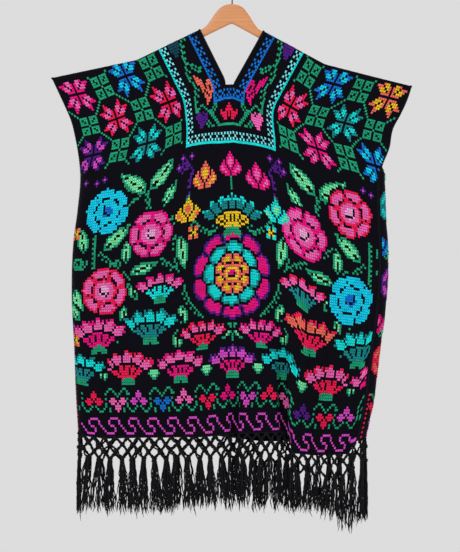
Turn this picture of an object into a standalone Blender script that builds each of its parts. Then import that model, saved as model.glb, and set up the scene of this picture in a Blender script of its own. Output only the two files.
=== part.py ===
"""A black cotton poncho with a V neck and a knotted fringe, hung on a flat wooden hanger.

Sizes are in millimetres and meshes are built in metres. +Z is up and the front faces -Y. The origin is the
inside top of the hanger's hook, where a rail would carry it.

The garment is one length of cloth with a straight slit at its centre, folded over the hanger. A point of a panel
is given by its place on the flat cloth: u across, from the centre, and v down, from the shoulder fold. The two
halves swing in from the sloping arms of the hanger, which opens the slit into a V, and hang plumb below it.
"""

import math

import bmesh
import bpy
import numpy as np
from mathutils import Vector

MM = 0.001

# The cloth, laid flat
HALF_WIDTH = 381.0
LENGTH = 945.0
SLIT_HALF = 11.25
SLIT_LENGTH = 132.3
WALL = 1.8
GAP = 0.3

# The hanger, in its own frame, below the hook seat and either side of the middle
HANGER_THICK = 11.5
HANGER_TILT = math.radians(1.3)
ARM_SLOPE = math.radians(27.1)
ARM_TIP = 226.0
TIP_ROUND = 11.0
CROWN_TOP = -56.7
UNDERSIDE_TOP = -103.7
UNDERSIDE_SLOPE = 0.52
UNDERSIDE_ROUND = 3.0
WOOD_STATIONS = (0.0, 10.0, 20.0, 28.0, 36.0, 44.0, 52.0, 60.0, 68.0, 110.0, 160.0)
TIP_STATIONS = (0.0, 0.5, 0.8, 0.97)
#        x     drop below the crown's top
CROWN = (
    (0.0, 0.0),
    (18.0, 3.5),
    (32.0, 14.0),
    (42.0, 27.5),
    (52.0, 43.0),
    (60.0, 53.6),
    (68.0, 60.2),
)

# The shoulder fold: where the cloth starts on each arm, and how it carries on past the hanger's tips
NECK_REACH = 74.4
NECK_TOP = -118.8
ARM_REACH = 164.5
TAIL_SLOPE = math.radians(13.2)
SEAT_GAP = 0.35
FOLD_RADIUS = HANGER_THICK / 2 + SEAT_GAP + WALL / 2
FOLD_TURN = FOLD_RADIUS * math.pi / 2

# How each half swings inward (degrees), where down the cloth it turns plumb, and how both change outward
#                swing  swing lost at edge  plumb at  plumb grows outward
SWING = {
    "left": (26.5, 5.8, 117.0, 0.13),
    "right": (29.1, 9.4, 129.0, 0.10),
}
TURN_SHORT = 25.0
TURN_GROWS = 240.0
YOKE_DEPTH = 250.0
STRETCH_EDGE = 0.97
STRETCH_NECK = 0.17

# The outline from the front: half widths of the two sides at each depth of cloth
#        v     left   right
OUTLINE = (
    (0.0, -425.0, 420.0),
    (35.0, -410.0, 410.0),
    (80.0, -391.0, 391.0),
    (110.0, -379.0, 376.0),
    (160.0, -367.0, 367.0),
    (250.0, -356.0, 359.0),
    (340.0, -362.0, 359.0),
    (430.0, -372.0, 363.0),
    (580.0, -376.0, 357.0),
    (720.0, -370.0, 341.0),
    (850.0, -366.0, 327.0),
    (945.0, -361.0, 310.0),
)
MERGE_START = 200.0
MERGE_LENGTH = 250.0

# The outline from the side: how far each panel stands from the middle
#       v     from the middle
DEPTH = (
    (11.0, 7.2),
    (60.0, 12.0),
    (130.0, 19.0),
    (250.0, 27.0),
    (500.0, 33.0),
    (945.0, 36.0),
)

# Side seams start below the armholes. The left one lies at the side, and the right one in front of it.
ARMHOLE_TURN = 150.0
ARMHOLE = 240.0
RIGHT_SEAM_INSET = 19.0
#               left  right, in degrees from lying flat to the seam
WRAP = {
    "front": (90.0, 26.0),
    "back": (90.0, 154.0),
}

# Height of the hem, across each panel
#       u      z
HEM = {
    "front": (
        (-381.0, -1060.0),
        (-330.0, -1071.0),
        (-100.0, -1071.0),
        (0.0, -1063.0),
        (153.6, -1060.0),
        (208.6, -1108.0),
        (270.0, -1113.0),
        (352.0, -1110.0),
        (381.0, -1079.0),
    ),
    "back": (
        (-381.0, -1060.0),
        (-300.0, -1078.0),
        (-60.0, -1070.0),
        (80.0, -1084.0),
        (260.0, -1074.0),
        (381.0, -1079.0),
    ),
}

# Folds, as ridges (+) and troughs (-): middle at the shoulder and at the hem, half width, height, and the depths
# of cloth where each starts, is whole, starts to fade and is gone
TO_HEM = (2000.0, 2100.0)
#    u top   u hem  half  height start whole  fade, gone
FOLDS = {
    "front": (
        (-128.0, -150.0, 34.0, -6.0, 30.0, 80.0, 220.0, 330.0),
        (132.0, 152.0, 34.0, -6.0, 30.0, 80.0, 220.0, 330.0),
        (-196.0, -215.0, 52.0, 6.0, 30.0, 90.0, 190.0, 320.0),
        (198.0, 215.0, 52.0, 6.0, 30.0, 90.0, 190.0, 320.0),
        (0.0, 0.0, 44.0, 8.0, 131.0, 174.0, 260.0, 420.0),
        (-342.0, -335.0, 30.0, -7.0, 300.0, 480.0, *TO_HEM),
        (-282.0, -272.0, 52.0, -9.0, 340.0, 620.0, *TO_HEM),
        (-205.0, -192.0, 46.0, 9.0, 300.0, 560.0, *TO_HEM),
        (-110.0, -105.0, 52.0, -6.0, 420.0, 700.0, *TO_HEM),
        (-50.0, -42.0, 36.0, 8.0, 600.0, 860.0, *TO_HEM),
        (6.0, 6.0, 27.0, -15.0, 740.0, 910.0, *TO_HEM),
        (50.0, 50.0, 34.0, 8.0, 600.0, 860.0, *TO_HEM),
        (96.0, 110.0, 34.0, 6.0, 640.0, 880.0, *TO_HEM),
        (-5.0, 166.6, 36.0, -19.0, 540.0, 850.0, *TO_HEM),
        (80.0, 218.6, 46.0, 14.0, 420.0, 840.0, *TO_HEM),
        (236.0, 284.0, 40.0, -8.0, 430.0, 760.0, *TO_HEM),
        (296.0, 330.0, 30.0, 6.0, 380.0, 740.0, *TO_HEM),
    ),
    "back": (
        (-130.0, -150.0, 34.0, -6.0, 30.0, 80.0, 220.0, 330.0),
        (130.0, 150.0, 34.0, -6.0, 30.0, 80.0, 220.0, 330.0),
        (-196.0, -215.0, 52.0, 6.0, 30.0, 90.0, 190.0, 320.0),
        (196.0, 215.0, 52.0, 6.0, 30.0, 90.0, 190.0, 320.0),
        (0.0, 0.0, 44.0, 7.0, 131.0, 174.0, 260.0, 420.0),
        (-330.0, -318.0, 34.0, -8.0, 320.0, 520.0, *TO_HEM),
        (-250.0, -262.0, 48.0, 9.0, 330.0, 640.0, *TO_HEM),
        (-165.0, -180.0, 46.0, -12.0, 380.0, 740.0, *TO_HEM),
        (-92.0, -98.0, 44.0, 9.0, 520.0, 820.0, *TO_HEM),
        (-20.0, -30.0, 40.0, -10.0, 640.0, 880.0, *TO_HEM),
        (42.0, 40.0, 40.0, 9.0, 560.0, 860.0, *TO_HEM),
        (112.0, 120.0, 46.0, -11.0, 420.0, 760.0, *TO_HEM),
        (190.0, 196.0, 46.0, 10.0, 340.0, 660.0, *TO_HEM),
        (258.0, 262.0, 36.0, -7.0, 400.0, 720.0, *TO_HEM),
    ),
}

# The fringe: tassels across one panel, those above which the deep fold needs a closer grid, the knotted rows
# over the tassels, and where the strands end
TASSELS = 26
CLOSE_COLUMNS = (18, 19)
STRIP_HEIGHT = 4.0
STRIP_TAB = 2.4
STRIP_END = 1.4
STRIP_STEEP_GAP = 1.5
NET_WALL = 2.7
KNOT_ROWS = (17.0, 34.0, 51.0)
KNOT_HALF = (6.6, 7.0)
HEAD_FEET = (-0.34, 0.34)
STRAND_SPREAD = 7.4
STRAND_HALF = 2.0
STRAND_DEPTH = 3.2
STRAND_SWAY = 3.0
#    share of length  width  spread
STRAND_RINGS = (
    (0.3, 1.1, 0.97),
    (1.0, 0.6, 1.05),
)
#       u      z of the strands' ends
FRINGE_END = {
    "front": (
        (-381.0, -1240.0),
        (-150.0, -1246.0),
        (40.0, -1216.0),
        (180.0, -1226.0),
        (300.0, -1246.0),
        (350.0, -1276.0),
    ),
    "back": (
        (-381.0, -1250.0),
        (-120.0, -1240.0),
        (60.0, -1254.0),
        (381.0, -1270.0),
    ),
}
STRAND_UNEVEN = 9.0
SWAY_SHIFT = 71

# The panels' grid: strips over the fold, rows down the yoke, strips from there to the hem, and how many of the
# outer columns at the left and the right are halved
FOLD_STRIPS = 3
YOKE_ROWS = (32.0, 60.0, 90.0, SLIT_LENGTH, 150.0, 180.0, 210.0, ARMHOLE)
BODY_STRIPS = 13
HALVED_COLUMNS = (3, 4)

# The hook: a steel rod bent to a loop, its shank let into the crown of the hanger
ROD = 3.2
ROD_SIDES = 8
LOOP_RADIUS = 19.0
LOOP_TIP = math.radians(-28.0)
LOOP_FOOT = math.radians(228.0)
LOOP_STEPS = 20
BEND_PULL = (9.0, 7.2)
BEND_STEPS = 6
SHANK_TOP = -47.0
SHANK_SUNK = 13.0
BORE_CLEARANCE = 0.35


def smooth(t):
    """0 to 1 with level ends."""
    t = np.clip(t, 0.0, 1.0)
    return t * t * (3.0 - 2.0 * t)


def through(table, at, column=1):
    """A smooth curve through one column of a table, read at the given keys."""
    keys = np.array([row[0] for row in table])
    values = np.array([row[column] for row in table])
    slopes = np.gradient(values, keys)
    at = np.clip(at, keys[0], keys[-1])
    k = np.clip(np.searchsorted(keys, at) - 1, 0, len(keys) - 2)
    step = keys[k + 1] - keys[k]
    t = (at - keys[k]) / step
    rise = values[k + 1] - values[k]
    bend_a = slopes[k] * step - rise
    bend_b = rise - slopes[k + 1] * step
    return values[k] + t * rise + t * (1 - t) * ((1 - t) * bend_a + t * bend_b)


def eased(table, at):
    """Level steps between the rows of a table."""
    keys = np.array([row[0] for row in table])
    values = np.array([row[1] for row in table])
    at = np.clip(at, keys[0], keys[-1])
    k = np.clip(np.searchsorted(keys, at) - 1, 0, len(keys) - 2)
    return values[k] + (values[k + 1] - values[k]) * smooth((at - keys[k]) / (keys[k + 1] - keys[k]))


def tilted(x, z):
    """A point of the hanger's own frame, turned about the hook seat with the hanger."""
    c, s = math.cos(HANGER_TILT), math.sin(HANGER_TILT)
    return x * c + z * s, z * c - x * s


def arm_top(x):
    """Height of the top of the hanger's arm, in the hanger's own frame."""
    cover = (SEAT_GAP + WALL / 2) / math.cos(ARM_SLOPE)
    return NECK_TOP - cover - (abs(x) - NECK_REACH) * math.tan(ARM_SLOPE)


def fall(v):
    """How far down its own plane the cloth is at v, after turning over the fold."""
    if v < FOLD_TURN:
        return FOLD_RADIUS * (1 - math.cos(v / FOLD_RADIUS))
    return FOLD_RADIUS + v - FOLD_TURN


def hung_half(u, v, name):
    """Place (x, z) of the points u of one half, swung in from its arm of the hanger."""
    out = -1.0 if name == "left" else 1.0
    neck = tilted(out * NECK_REACH, NECK_TOP)
    reach = np.abs(u) - SLIT_HALF
    on_arm = np.minimum(reach, ARM_REACH)
    past = np.maximum(reach - ARM_REACH, 0.0)
    arm, tail = ARM_SLOPE + out * HANGER_TILT, TAIL_SLOPE + out * HANGER_TILT
    x = neck[0] + out * (on_arm * math.cos(arm) + past * math.cos(tail))
    z = neck[1] - on_arm * math.sin(arm) - past * math.sin(tail)
    swing, swing_lost, plumb, plumb_grows = SWING[name]
    share = np.abs(u) / HALF_WIDTH
    angle = np.radians(swing - swing_lost * share**3)
    stretch = STRETCH_EDGE + STRETCH_NECK * (1 - share) ** 2
    width = TURN_SHORT + TURN_GROWS * share**2
    start = plumb + plumb_grows * np.abs(u) - width / 2
    down = fall(v)
    t = np.clip((down - start) / width, 0.0, 1.0)
    swung = np.minimum(down, start) + width * (t - t**3 + t**4 / 2)
    x = x - out * np.sin(angle) * stretch * swung
    z = z - stretch * (down - (1 - np.cos(angle)) * swung)
    return x, z


def hung(u, v):
    """Place (x, z) of points u of the whole width. The stretch below the slit joins its two edges."""
    left = hung_half(np.minimum(u, -SLIT_HALF), v, "left")
    right = hung_half(np.maximum(u, SLIT_HALF), v, "right")
    share = np.clip((u + SLIT_HALF) / (2 * SLIT_HALF), 0.0, 1.0)
    return tuple(a + (b - a) * share for a, b in zip(left, right))


def fold_height(u, v, side):
    """How far the folds lift the cloth outward."""
    height = np.zeros_like(u)
    for u_top, u_hem, half, rise, start, whole, fade, gone in FOLDS[side]:
        middle = u_top + (u_hem - u_top) * v / LENGTH
        there = smooth((v - start) / (whole - start)) * (1 - smooth((v - fade) / (gone - fade)))
        t = np.clip((u - middle) / half, -1.0, 1.0)
        height = height + rise * there * (1 - t * t) ** 2
    return height


def wrap_angle(u, v, side, stand):
    """How far the cloth has turned toward its seam, from lying flat."""
    closed = smooth((v - ARMHOLE_TURN) / (ARMHOLE - ARMHOLE_TURN))
    left, right = WRAP[side]
    whole = np.radians(np.where(u < 0, left, right)) * closed
    from_seam = HALF_WIDTH - np.abs(u) + GAP / 2
    return np.maximum(whole - from_seam / stand, 0.0)


def section(u, v, side):
    """Points of the middle of a panel's wall along one row of the cloth, as an array of x, y, z.

    u holds rising samples over the whole width, fine enough to follow the folds."""
    out = -1.0 if side == "front" else 1.0
    if v < FOLD_TURN:
        stand = GAP / 2 + FOLD_RADIUS * math.sin(v / FOLD_RADIUS)
    else:
        stand = float(through(DEPTH, v))
    turned = wrap_angle(u, v, side, max(stand, 1.0))
    off_seam = smooth((HALF_WIDTH - np.abs(u)) / (1.6 * stand + 1.0))
    y = stand * np.cos(turned) + fold_height(u, v, side) * off_seam
    slope = np.gradient(y, u)
    run = np.sqrt(np.clip(1 - slope**2, 0.02, 1.0)) * np.sign(math.pi / 2 + 1e-6 - turned)
    steps = np.concatenate([[0.0], np.cumsum((run[1:] + run[:-1]) / 2 * np.diff(u))])
    across = steps - np.interp(0.0, u, steps)
    across = np.where(across < 0, across / -across[0], across / across[-1]) * HALF_WIDTH

    closed = float(smooth((v - ARMHOLE_TURN) / (ARMHOLE - ARMHOLE_TURN)))
    edge_left = float(through(OUTLINE, v, 1))
    edge_right = float(through(OUTLINE, v, 2)) - RIGHT_SEAM_INSET * closed + out * GAP / 2 * closed
    edge = np.where(across < 0, -edge_left, edge_right)
    plumb_x = edge * across / HALF_WIDTH
    top_x = hung(across, min(v, LENGTH))[0]
    x = top_x + (plumb_x - top_x) * float(smooth((v - MERGE_START) / MERGE_LENGTH))
    share = np.abs(across) / HALF_WIDTH
    miss = np.where(across < 0, edge_left - x[0], edge_right - x[-1])
    x = x + miss * share**4

    z = hung(u, min(v, YOKE_DEPTH))[1]
    if v > YOKE_DEPTH:
        z = z + (eased(HEM[side], u) - z) * (v - YOKE_DEPTH) / (LENGTH - YOKE_DEPTH)
    return np.stack([x, out * y, z], axis=-1)


def fine_samples(slit_open):
    """Rising samples of u, as the runs of cloth that they lie on."""
    left = np.linspace(-HALF_WIDTH, -SLIT_HALF, 186)
    right = -left[::-1]
    if slit_open:
        return [left, right]
    middle = np.linspace(-SLIT_HALF, SLIT_HALF, 13)[1:-1]
    return [np.concatenate([left, middle, right])]


def row_of_points(columns, v, side):
    """Points and outward normals of one row of a panel, at the given columns."""
    step = 0.4
    every = np.concatenate(fine_samples(True))
    above = max(v - step, 0.0)
    below = min(v + step, LENGTH)
    here, up, down = (section(every, at, side) for at in (v, above, below))
    along_v = (down - up) / (below - above)
    points, normals = [], []
    for run in fine_samples(v <= SLIT_LENGTH - 1.0):
        own = section(run, v, side) if len(run) > len(every) else here[np.isin(every, run)]
        along_u = np.stack([np.gradient(own[:, k], run) for k in range(3)], axis=-1)
        down_v = np.stack([np.interp(run, every, along_v[:, k]) for k in range(3)], axis=-1)
        normal = np.cross(along_u, down_v)
        normal /= np.linalg.norm(normal, axis=1)[:, None]
        if side == "front":
            normal = -normal
        mine = [u for u in columns if run[0] - 1e-6 <= u <= run[-1] + 1e-6]
        for u in mine:
            points.append([np.interp(u, run, own[:, k]) for k in range(3)])
            normals.append([np.interp(u, run, normal[:, k]) for k in range(3)])
    return np.array(points), np.array(normals)


def panel_columns():
    """Columns of the panel's grid: one for each tassel, closer at the deep fold and where the sides turn."""
    pitch = 2 * HALF_WIDTH / TASSELS
    columns = [-HALF_WIDTH + pitch * k for k in range(TASSELS + 1) if k != TASSELS // 2]
    columns += [-HALF_WIDTH + pitch * (k + 0.5) for k in (*range(HALVED_COLUMNS[0]), *CLOSE_COLUMNS)]
    columns += [HALF_WIDTH - pitch * (k + 0.5) for k in range(HALVED_COLUMNS[1])]
    return sorted(columns + [-SLIT_HALF, SLIT_HALF])


def panel_rows():
    """Rows of the panel's grid: over the fold, down the slit and on to the hem."""
    over = [FOLD_TURN * k / FOLD_STRIPS for k in range(FOLD_STRIPS + 1)]
    body = np.linspace(ARMHOLE, LENGTH, BODY_STRIPS + 1)[1:]
    return [*over, *YOKE_ROWS, *body]


def material(name, color, roughness, metallic=0.0):
    """A plain finish."""
    made = bpy.data.materials.new(name)
    made.use_nodes = True
    shader = made.node_tree.nodes["Principled BSDF"]
    shader.inputs["Base Color"].default_value = (*color, 1.0)
    shader.inputs["Roughness"].default_value = roughness
    shader.inputs["Metallic"].default_value = metallic
    made.diffuse_color = (*color, 1.0)
    return made


def add_object(name, points, faces, finish, smooth_angle=40.0):
    """A named object from points in millimetres and the faces between them."""
    mesh = bpy.data.meshes.new(name)
    mesh.from_pydata([Vector(p) * MM for p in points], [], faces)
    mesh.validate()
    shaped = bmesh.new()
    shaped.from_mesh(mesh)
    bmesh.ops.recalc_face_normals(shaped, faces=shaped.faces)
    shaped.to_mesh(mesh)
    shaped.free()
    mesh.shade_smooth()
    mesh.set_sharp_from_angle(angle=math.radians(smooth_angle))
    mesh.materials.append(finish)
    made = bpy.data.objects.new(name, mesh)
    bpy.context.collection.objects.link(made)
    return made


def wall(points, normals, faces, thick, open_edges=()):
    """Points and faces of a wall either side of a sheet, rimmed along its free edges but for the open ones."""
    count = len(points)
    solid = [p + n * thick / 2 for p, n in zip(points, normals)]
    solid += [p - n * thick / 2 for p, n in zip(points, normals)]
    shell = [tuple(face) for face in faces]
    shell += [tuple(count + k for k in reversed(face)) for face in faces]
    edges = {}
    for face in faces:
        for a, b in zip(face, (*face[1:], face[0])):
            edges[(a, b)] = edges.get((a, b), 0) + 1
    free = [(a, b) for a, b in edges if (b, a) not in edges and (a, b) not in open_edges]
    rims = [(b, a, count + a, count + b) for a, b in free]
    return solid, shell + rims


def build_panel(side, finish):
    """The front or back panel, and the points and normals of its hem for the fringe."""
    columns, rows = panel_columns(), panel_rows()
    points, normals = [], []
    for v in rows:
        row_points, row_normals = row_of_points(columns, v, side)
        points.extend(row_points)
        normals.extend(row_normals)
    wide = len(columns)
    level = np.array(normals[-wide:]) * (1.0, 1.0, 0.0)
    level /= np.linalg.norm(level, axis=1)[:, None]
    normals[-wide:] = list(level)
    slit_column = columns.index(-SLIT_HALF)
    faces = []
    for i in range(len(rows) - 1):
        for j in range(wide - 1):
            if j == slit_column and rows[i + 1] <= SLIT_LENGTH:
                continue
            a = i * wide + j
            faces.append((a, a + wide, a + wide + 1, a + 1))
    solid, shell = wall(points, normals, faces, WALL)
    add_object(f"{side}_panel", solid, shell, finish)
    return columns, np.array(points[-wide:]), level


def unevenness(k):
    """A settled wobble between -1 and 1, different for each strand."""
    return math.sin(12.9898 * (k + 1)) * math.cos(4.1414 * (k + 3))


class Net:
    """A flat net of knots and cords that hangs from one hem, then thickened and given its strands."""

    def __init__(self, side, hem):
        self.side = side
        self.columns, self.hem_points, self.hem_normals = hem
        self.points, self.facings, self.faces = [], [], []

    def place(self, u, w):
        """Point w below place u of the hem, and the way that the hem faces there."""
        at = np.array([np.interp(u, self.columns, self.hem_points[:, k]) for k in range(3)])
        facing = np.array([np.interp(u, self.columns, self.hem_normals[:, k]) for k in range(3)])
        return at - np.array([0.0, 0.0, w]), facing / np.linalg.norm(facing)

    def steepness(self, u):
        """How steeply the hem runs up or down at u, as rise over width."""
        before, after = self.place(u - 1.0, 0.0)[0], self.place(u + 1.0, 0.0)[0]
        return abs(after[2] - before[2]) / 2.0

    def add(self, u, w):
        point, facing = self.place(u, w)
        self.points.append(point)
        self.facings.append(facing)
        return len(self.points) - 1

    def knot(self, u, w, feet=(0.0,)):
        """A knot as a flat stone: its top, its left and right corners, and its feet."""
        half_u, half_w = KNOT_HALF
        top, left, right = self.add(u, w - half_w), self.add(u - half_u, w), self.add(u + half_u, w)
        lower = [self.add(u + foot * half_u, w + half_w) for foot in feet]
        self.faces.append((top, left, *lower, right))
        return {"top": top, "left": left, "right": right, "lower": lower}

    def cord_left(self, upper, lower):
        """A cord from the lower left side of a knot to the next knot down on the left."""
        self.faces.append((upper["left"], lower["top"], lower["right"], upper["lower"][0]))

    def cord_right(self, upper, lower):
        self.faces.append((upper["lower"][-1], lower["left"], lower["top"], upper["right"]))


def tassel_places():
    """Where cords leave the strip and, between them, the middles of the tassels."""
    pitch = 2 * HALF_WIDTH / TASSELS
    ends = [-HALF_WIDTH + pitch * k for k in range(TASSELS + 1)]
    ends[0] += KNOT_HALF[0] + STRIP_END
    ends[-1] -= KNOT_HALF[0] + STRIP_END
    return ends, [-HALF_WIDTH + pitch * (k + 0.5) for k in range(TASSELS)]


def add_strip(net, ends, mids):
    """The narrow strip under the hem, with a tab below it for each place that cords leave."""
    places = [-HALF_WIDTH + STRIP_END]
    for k, u in enumerate(ends):
        places += [u - STRIP_TAB, u, u + STRIP_TAB]
        if k < len(mids):
            places.append(mids[k])
    places.append(HALF_WIDTH - STRIP_END)
    upper = [net.add(u, GAP + STRIP_STEEP_GAP * net.steepness(u)) for u in places]
    lower = [net.add(u, STRIP_HEIGHT) for u in places]
    for k in range(len(places) - 1):
        net.faces.append((upper[k], lower[k], lower[k + 1], upper[k + 1]))
    return [tuple(lower[places.index(u) + step] for step in (-1, 0, 1)) for u in ends]


def add_strand(net, solid, shell, edge, middle, lean, number):
    """One strand of four sides, drawn down from the foot of its tassel's head."""
    a, b = edge
    count = len(net.points)
    ring = [b, a, count + a, count + b]
    hem_z = net.place(middle, 0.0)[0][2]
    end_z = float(through(FRINGE_END[net.side], middle)) + STRAND_UNEVEN * unevenness(number)
    start, end = KNOT_ROWS[2] + KNOT_HALF[1], hem_z - end_z
    sway = STRAND_SWAY * unevenness(number + SWAY_SHIFT)
    for share, half, spread in STRAND_RINGS:
        u = middle + lean * STRAND_SPREAD * spread
        point, facing = net.place(u, start + (end - start) * share)
        edge_a = net.place(u - STRAND_HALF * half, start)[0] - net.place(u, start)[0]
        edge_b = net.place(u + STRAND_HALF * half, start)[0] - net.place(u, start)[0]
        edge_a[2] = edge_b[2] = 0.0
        point = point + facing * sway * share
        thick = facing * STRAND_DEPTH * half / 2
        first = len(solid)
        solid.extend([point + edge_b + thick, point + edge_a + thick])
        solid.extend([point + edge_a - thick, point + edge_b - thick])
        lower = [first, first + 1, first + 2, first + 3]
        for k in range(4):
            shell.append((ring[k], ring[(k + 1) % 4], lower[(k + 1) % 4], lower[k]))
        ring = lower
    shell.append(tuple(ring))


def build_fringe(side, hem, finish):
    """The knotted net below one hem, with its strands, as one body rooted in a narrow strip."""
    net = Net(side, hem)
    ends, mids = tassel_places()
    tabs = add_strip(net, ends, mids)
    first = [net.knot(u, KNOT_ROWS[0]) for u in mids]
    second = [net.knot(u, KNOT_ROWS[1]) for u in ends]
    heads = [net.knot(u, KNOT_ROWS[2], feet=HEAD_FEET) for u in mids]
    for k in range(len(mids)):
        net.faces.append((tabs[k][1], first[k]["left"], first[k]["top"], tabs[k][2]))
        net.faces.append((tabs[k + 1][0], first[k]["top"], first[k]["right"], tabs[k + 1][1]))
        net.cord_left(first[k], second[k])
        net.cord_right(first[k], second[k + 1])
        net.cord_right(second[k], heads[k])
        net.cord_left(second[k + 1], heads[k])
    roots = []
    for k, head in enumerate(heads):
        corners = [head["left"], *head["lower"], head["right"]]
        roots += [(corners[n], corners[n + 1], mids[k], n - 1) for n in range(3)]
    solid, shell = wall(net.points, net.facings, net.faces, NET_WALL, open_edges={root[:2] for root in roots})
    for number, (a, b, middle, lean) in enumerate(roots):
        add_strand(net, solid, shell, (a, b), middle, lean, number)
    add_object(f"{side}_fringe", solid, shell, finish)


def underside(x):
    """Height of the underside of the hanger, in its own frame."""
    return UNDERSIDE_TOP - UNDERSIDE_SLOPE * (math.hypot(x, UNDERSIDE_ROUND) - UNDERSIDE_ROUND)


def topside(x):
    """Height of the top of the hanger: its crown, then its straight arms."""
    if abs(x) < CROWN[-1][0]:
        return CROWN_TOP - float(through(CROWN, abs(x)))
    return arm_top(x)


def build_wood(frame, finish):
    """The flat wooden hanger, lofted from upright sections, with a bore for the hook."""
    side = list(WOOD_STATIONS)
    side += [ARM_TIP - TIP_ROUND * (1 - share) for share in TIP_STATIONS]
    stations = [-x for x in side[:0:-1]] + side
    points, faces = [], []
    turns = [math.pi * k / 6 for k in range(7)]
    for x in stations:
        top, bottom = topside(x), underside(x)
        past = max(abs(x) - (ARM_TIP - TIP_ROUND), 0.0) / TIP_ROUND
        narrow = math.sqrt(1 - past * past)
        middle, half = (top + bottom) / 2, (top - bottom) / 2 * narrow
        round_y = HANGER_THICK / 2 * narrow
        round_z = min(HANGER_THICK / 2 / math.cos(ARM_SLOPE), half * 0.98)
        for turn in turns:
            points.append((x, round_y * math.cos(turn), middle + half - round_z * (1 - math.sin(turn))))
        for turn in turns:
            points.append((x, -round_y * math.cos(turn), middle - half + round_z * (1 - math.sin(turn))))
    around = 2 * len(turns)
    for i in range(len(stations) - 1):
        for k in range(around):
            a, b = i * around + k, i * around + (k + 1) % around
            faces.append((a, b, b + around, a + around))
    faces.append(tuple(range(around)))
    faces.append(tuple(len(points) - around + k for k in reversed(range(around))))
    wood = add_object("hanger_wood", points, faces, finish)
    wood.parent = frame

    deep = SHANK_SUNK + GAP
    bpy.ops.mesh.primitive_cylinder_add(
        vertices=12,
        radius=(ROD / 2 + BORE_CLEARANCE) * MM,
        depth=2 * deep * MM,
        location=(0.0, 0.0, CROWN_TOP * MM),
    )
    bore = bpy.context.object
    bore.name = "bore_cutter"
    bore.parent = frame
    bore.display_type = "WIRE"
    bore.hide_render = True
    cut = wood.modifiers.new("bore", "BOOLEAN")
    cut.operation = "DIFFERENCE"
    cut.solver = "EXACT"
    cut.object = bore


def hook_path():
    """The middle of the rod, from the open tip of the loop over the seat and down the shank."""
    radius = LOOP_RADIUS + ROD / 2
    middle_z = ROD / 2 - radius
    path = []
    for k in range(LOOP_STEPS + 1):
        turn = LOOP_TIP + (LOOP_FOOT - LOOP_TIP) * k / LOOP_STEPS
        path.append((radius * math.cos(turn), middle_z + radius * math.sin(turn)))
    x0, z0 = path[-1]
    near = (x0 - BEND_PULL[0] * math.sin(LOOP_FOOT), z0 + BEND_PULL[0] * math.cos(LOOP_FOOT))
    far = (0.0, SHANK_TOP + BEND_PULL[1])
    for k in range(1, BEND_STEPS + 1):
        t = k / BEND_STEPS
        weights = ((1 - t) ** 3, 3 * t * (1 - t) ** 2, 3 * t * t * (1 - t), t**3)
        corners = ((x0, z0), near, far, (0.0, SHANK_TOP))
        path.append(tuple(sum(w * c[axis] for w, c in zip(weights, corners)) for axis in range(2)))
    path.append((0.0, CROWN_TOP - SHANK_SUNK))
    return path


def build_hook(frame, finish):
    """The steel hook, swept along its path, with a rounded tip."""
    path = hook_path()
    points, faces = [], []
    for k, (x, z) in enumerate(path):
        before, after = path[max(k - 1, 0)], path[min(k + 1, len(path) - 1)]
        along = Vector((after[0] - before[0], after[1] - before[1])).normalized()
        radius = ROD / 2 * (0.7 if k == 0 else 1.0)
        for n in range(ROD_SIDES):
            turn = 2 * math.pi * n / ROD_SIDES
            across, deep = radius * math.cos(turn), radius * math.sin(turn)
            points.append((x - along.y * across, deep, z + along.x * across))
    for i in range(len(path) - 1):
        for n in range(ROD_SIDES):
            a, b = i * ROD_SIDES + n, i * ROD_SIDES + (n + 1) % ROD_SIDES
            faces.append((a, b, b + ROD_SIDES, a + ROD_SIDES))
    faces.append(tuple(range(ROD_SIDES)))
    faces.append(tuple(len(points) - ROD_SIDES + n for n in reversed(range(ROD_SIDES))))
    build = add_object("hanger_hook", points, faces, finish)
    build.parent = frame


def main():
    for old in list(bpy.data.objects):
        bpy.data.objects.remove(old)
    cotton = material("black_cotton", (0.012, 0.012, 0.016), 0.85)
    yarn = material("black_yarn", (0.010, 0.010, 0.012), 0.9)
    wood = material("light_wood", (0.62, 0.33, 0.15), 0.45)
    steel = material("dark_steel", (0.12, 0.12, 0.13), 0.35, 1.0)
    for side in ("front", "back"):
        hem = build_panel(side, cotton)
        build_fringe(side, hem, yarn)
    frame = bpy.data.objects.new("hanger", None)
    frame.rotation_euler = (0.0, HANGER_TILT, 0.0)
    bpy.context.collection.objects.link(frame)
    build_wood(frame, wood)
    build_hook(frame, steel)


main()
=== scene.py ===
"""The looks of the poncho: woven shells, each cross-stitch as two crossed threads, fringe, wood and hook.

Sizes are in millimetres and meshes are built in metres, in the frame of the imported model: +Z up, the front
faces -Y, and the origin is the inside top of the hanger's hook. A place on the cloth is u across, from the
middle, and v down, from the shoulder fold. A stitch is named by its column and row on the chart.
"""

import math

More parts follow.
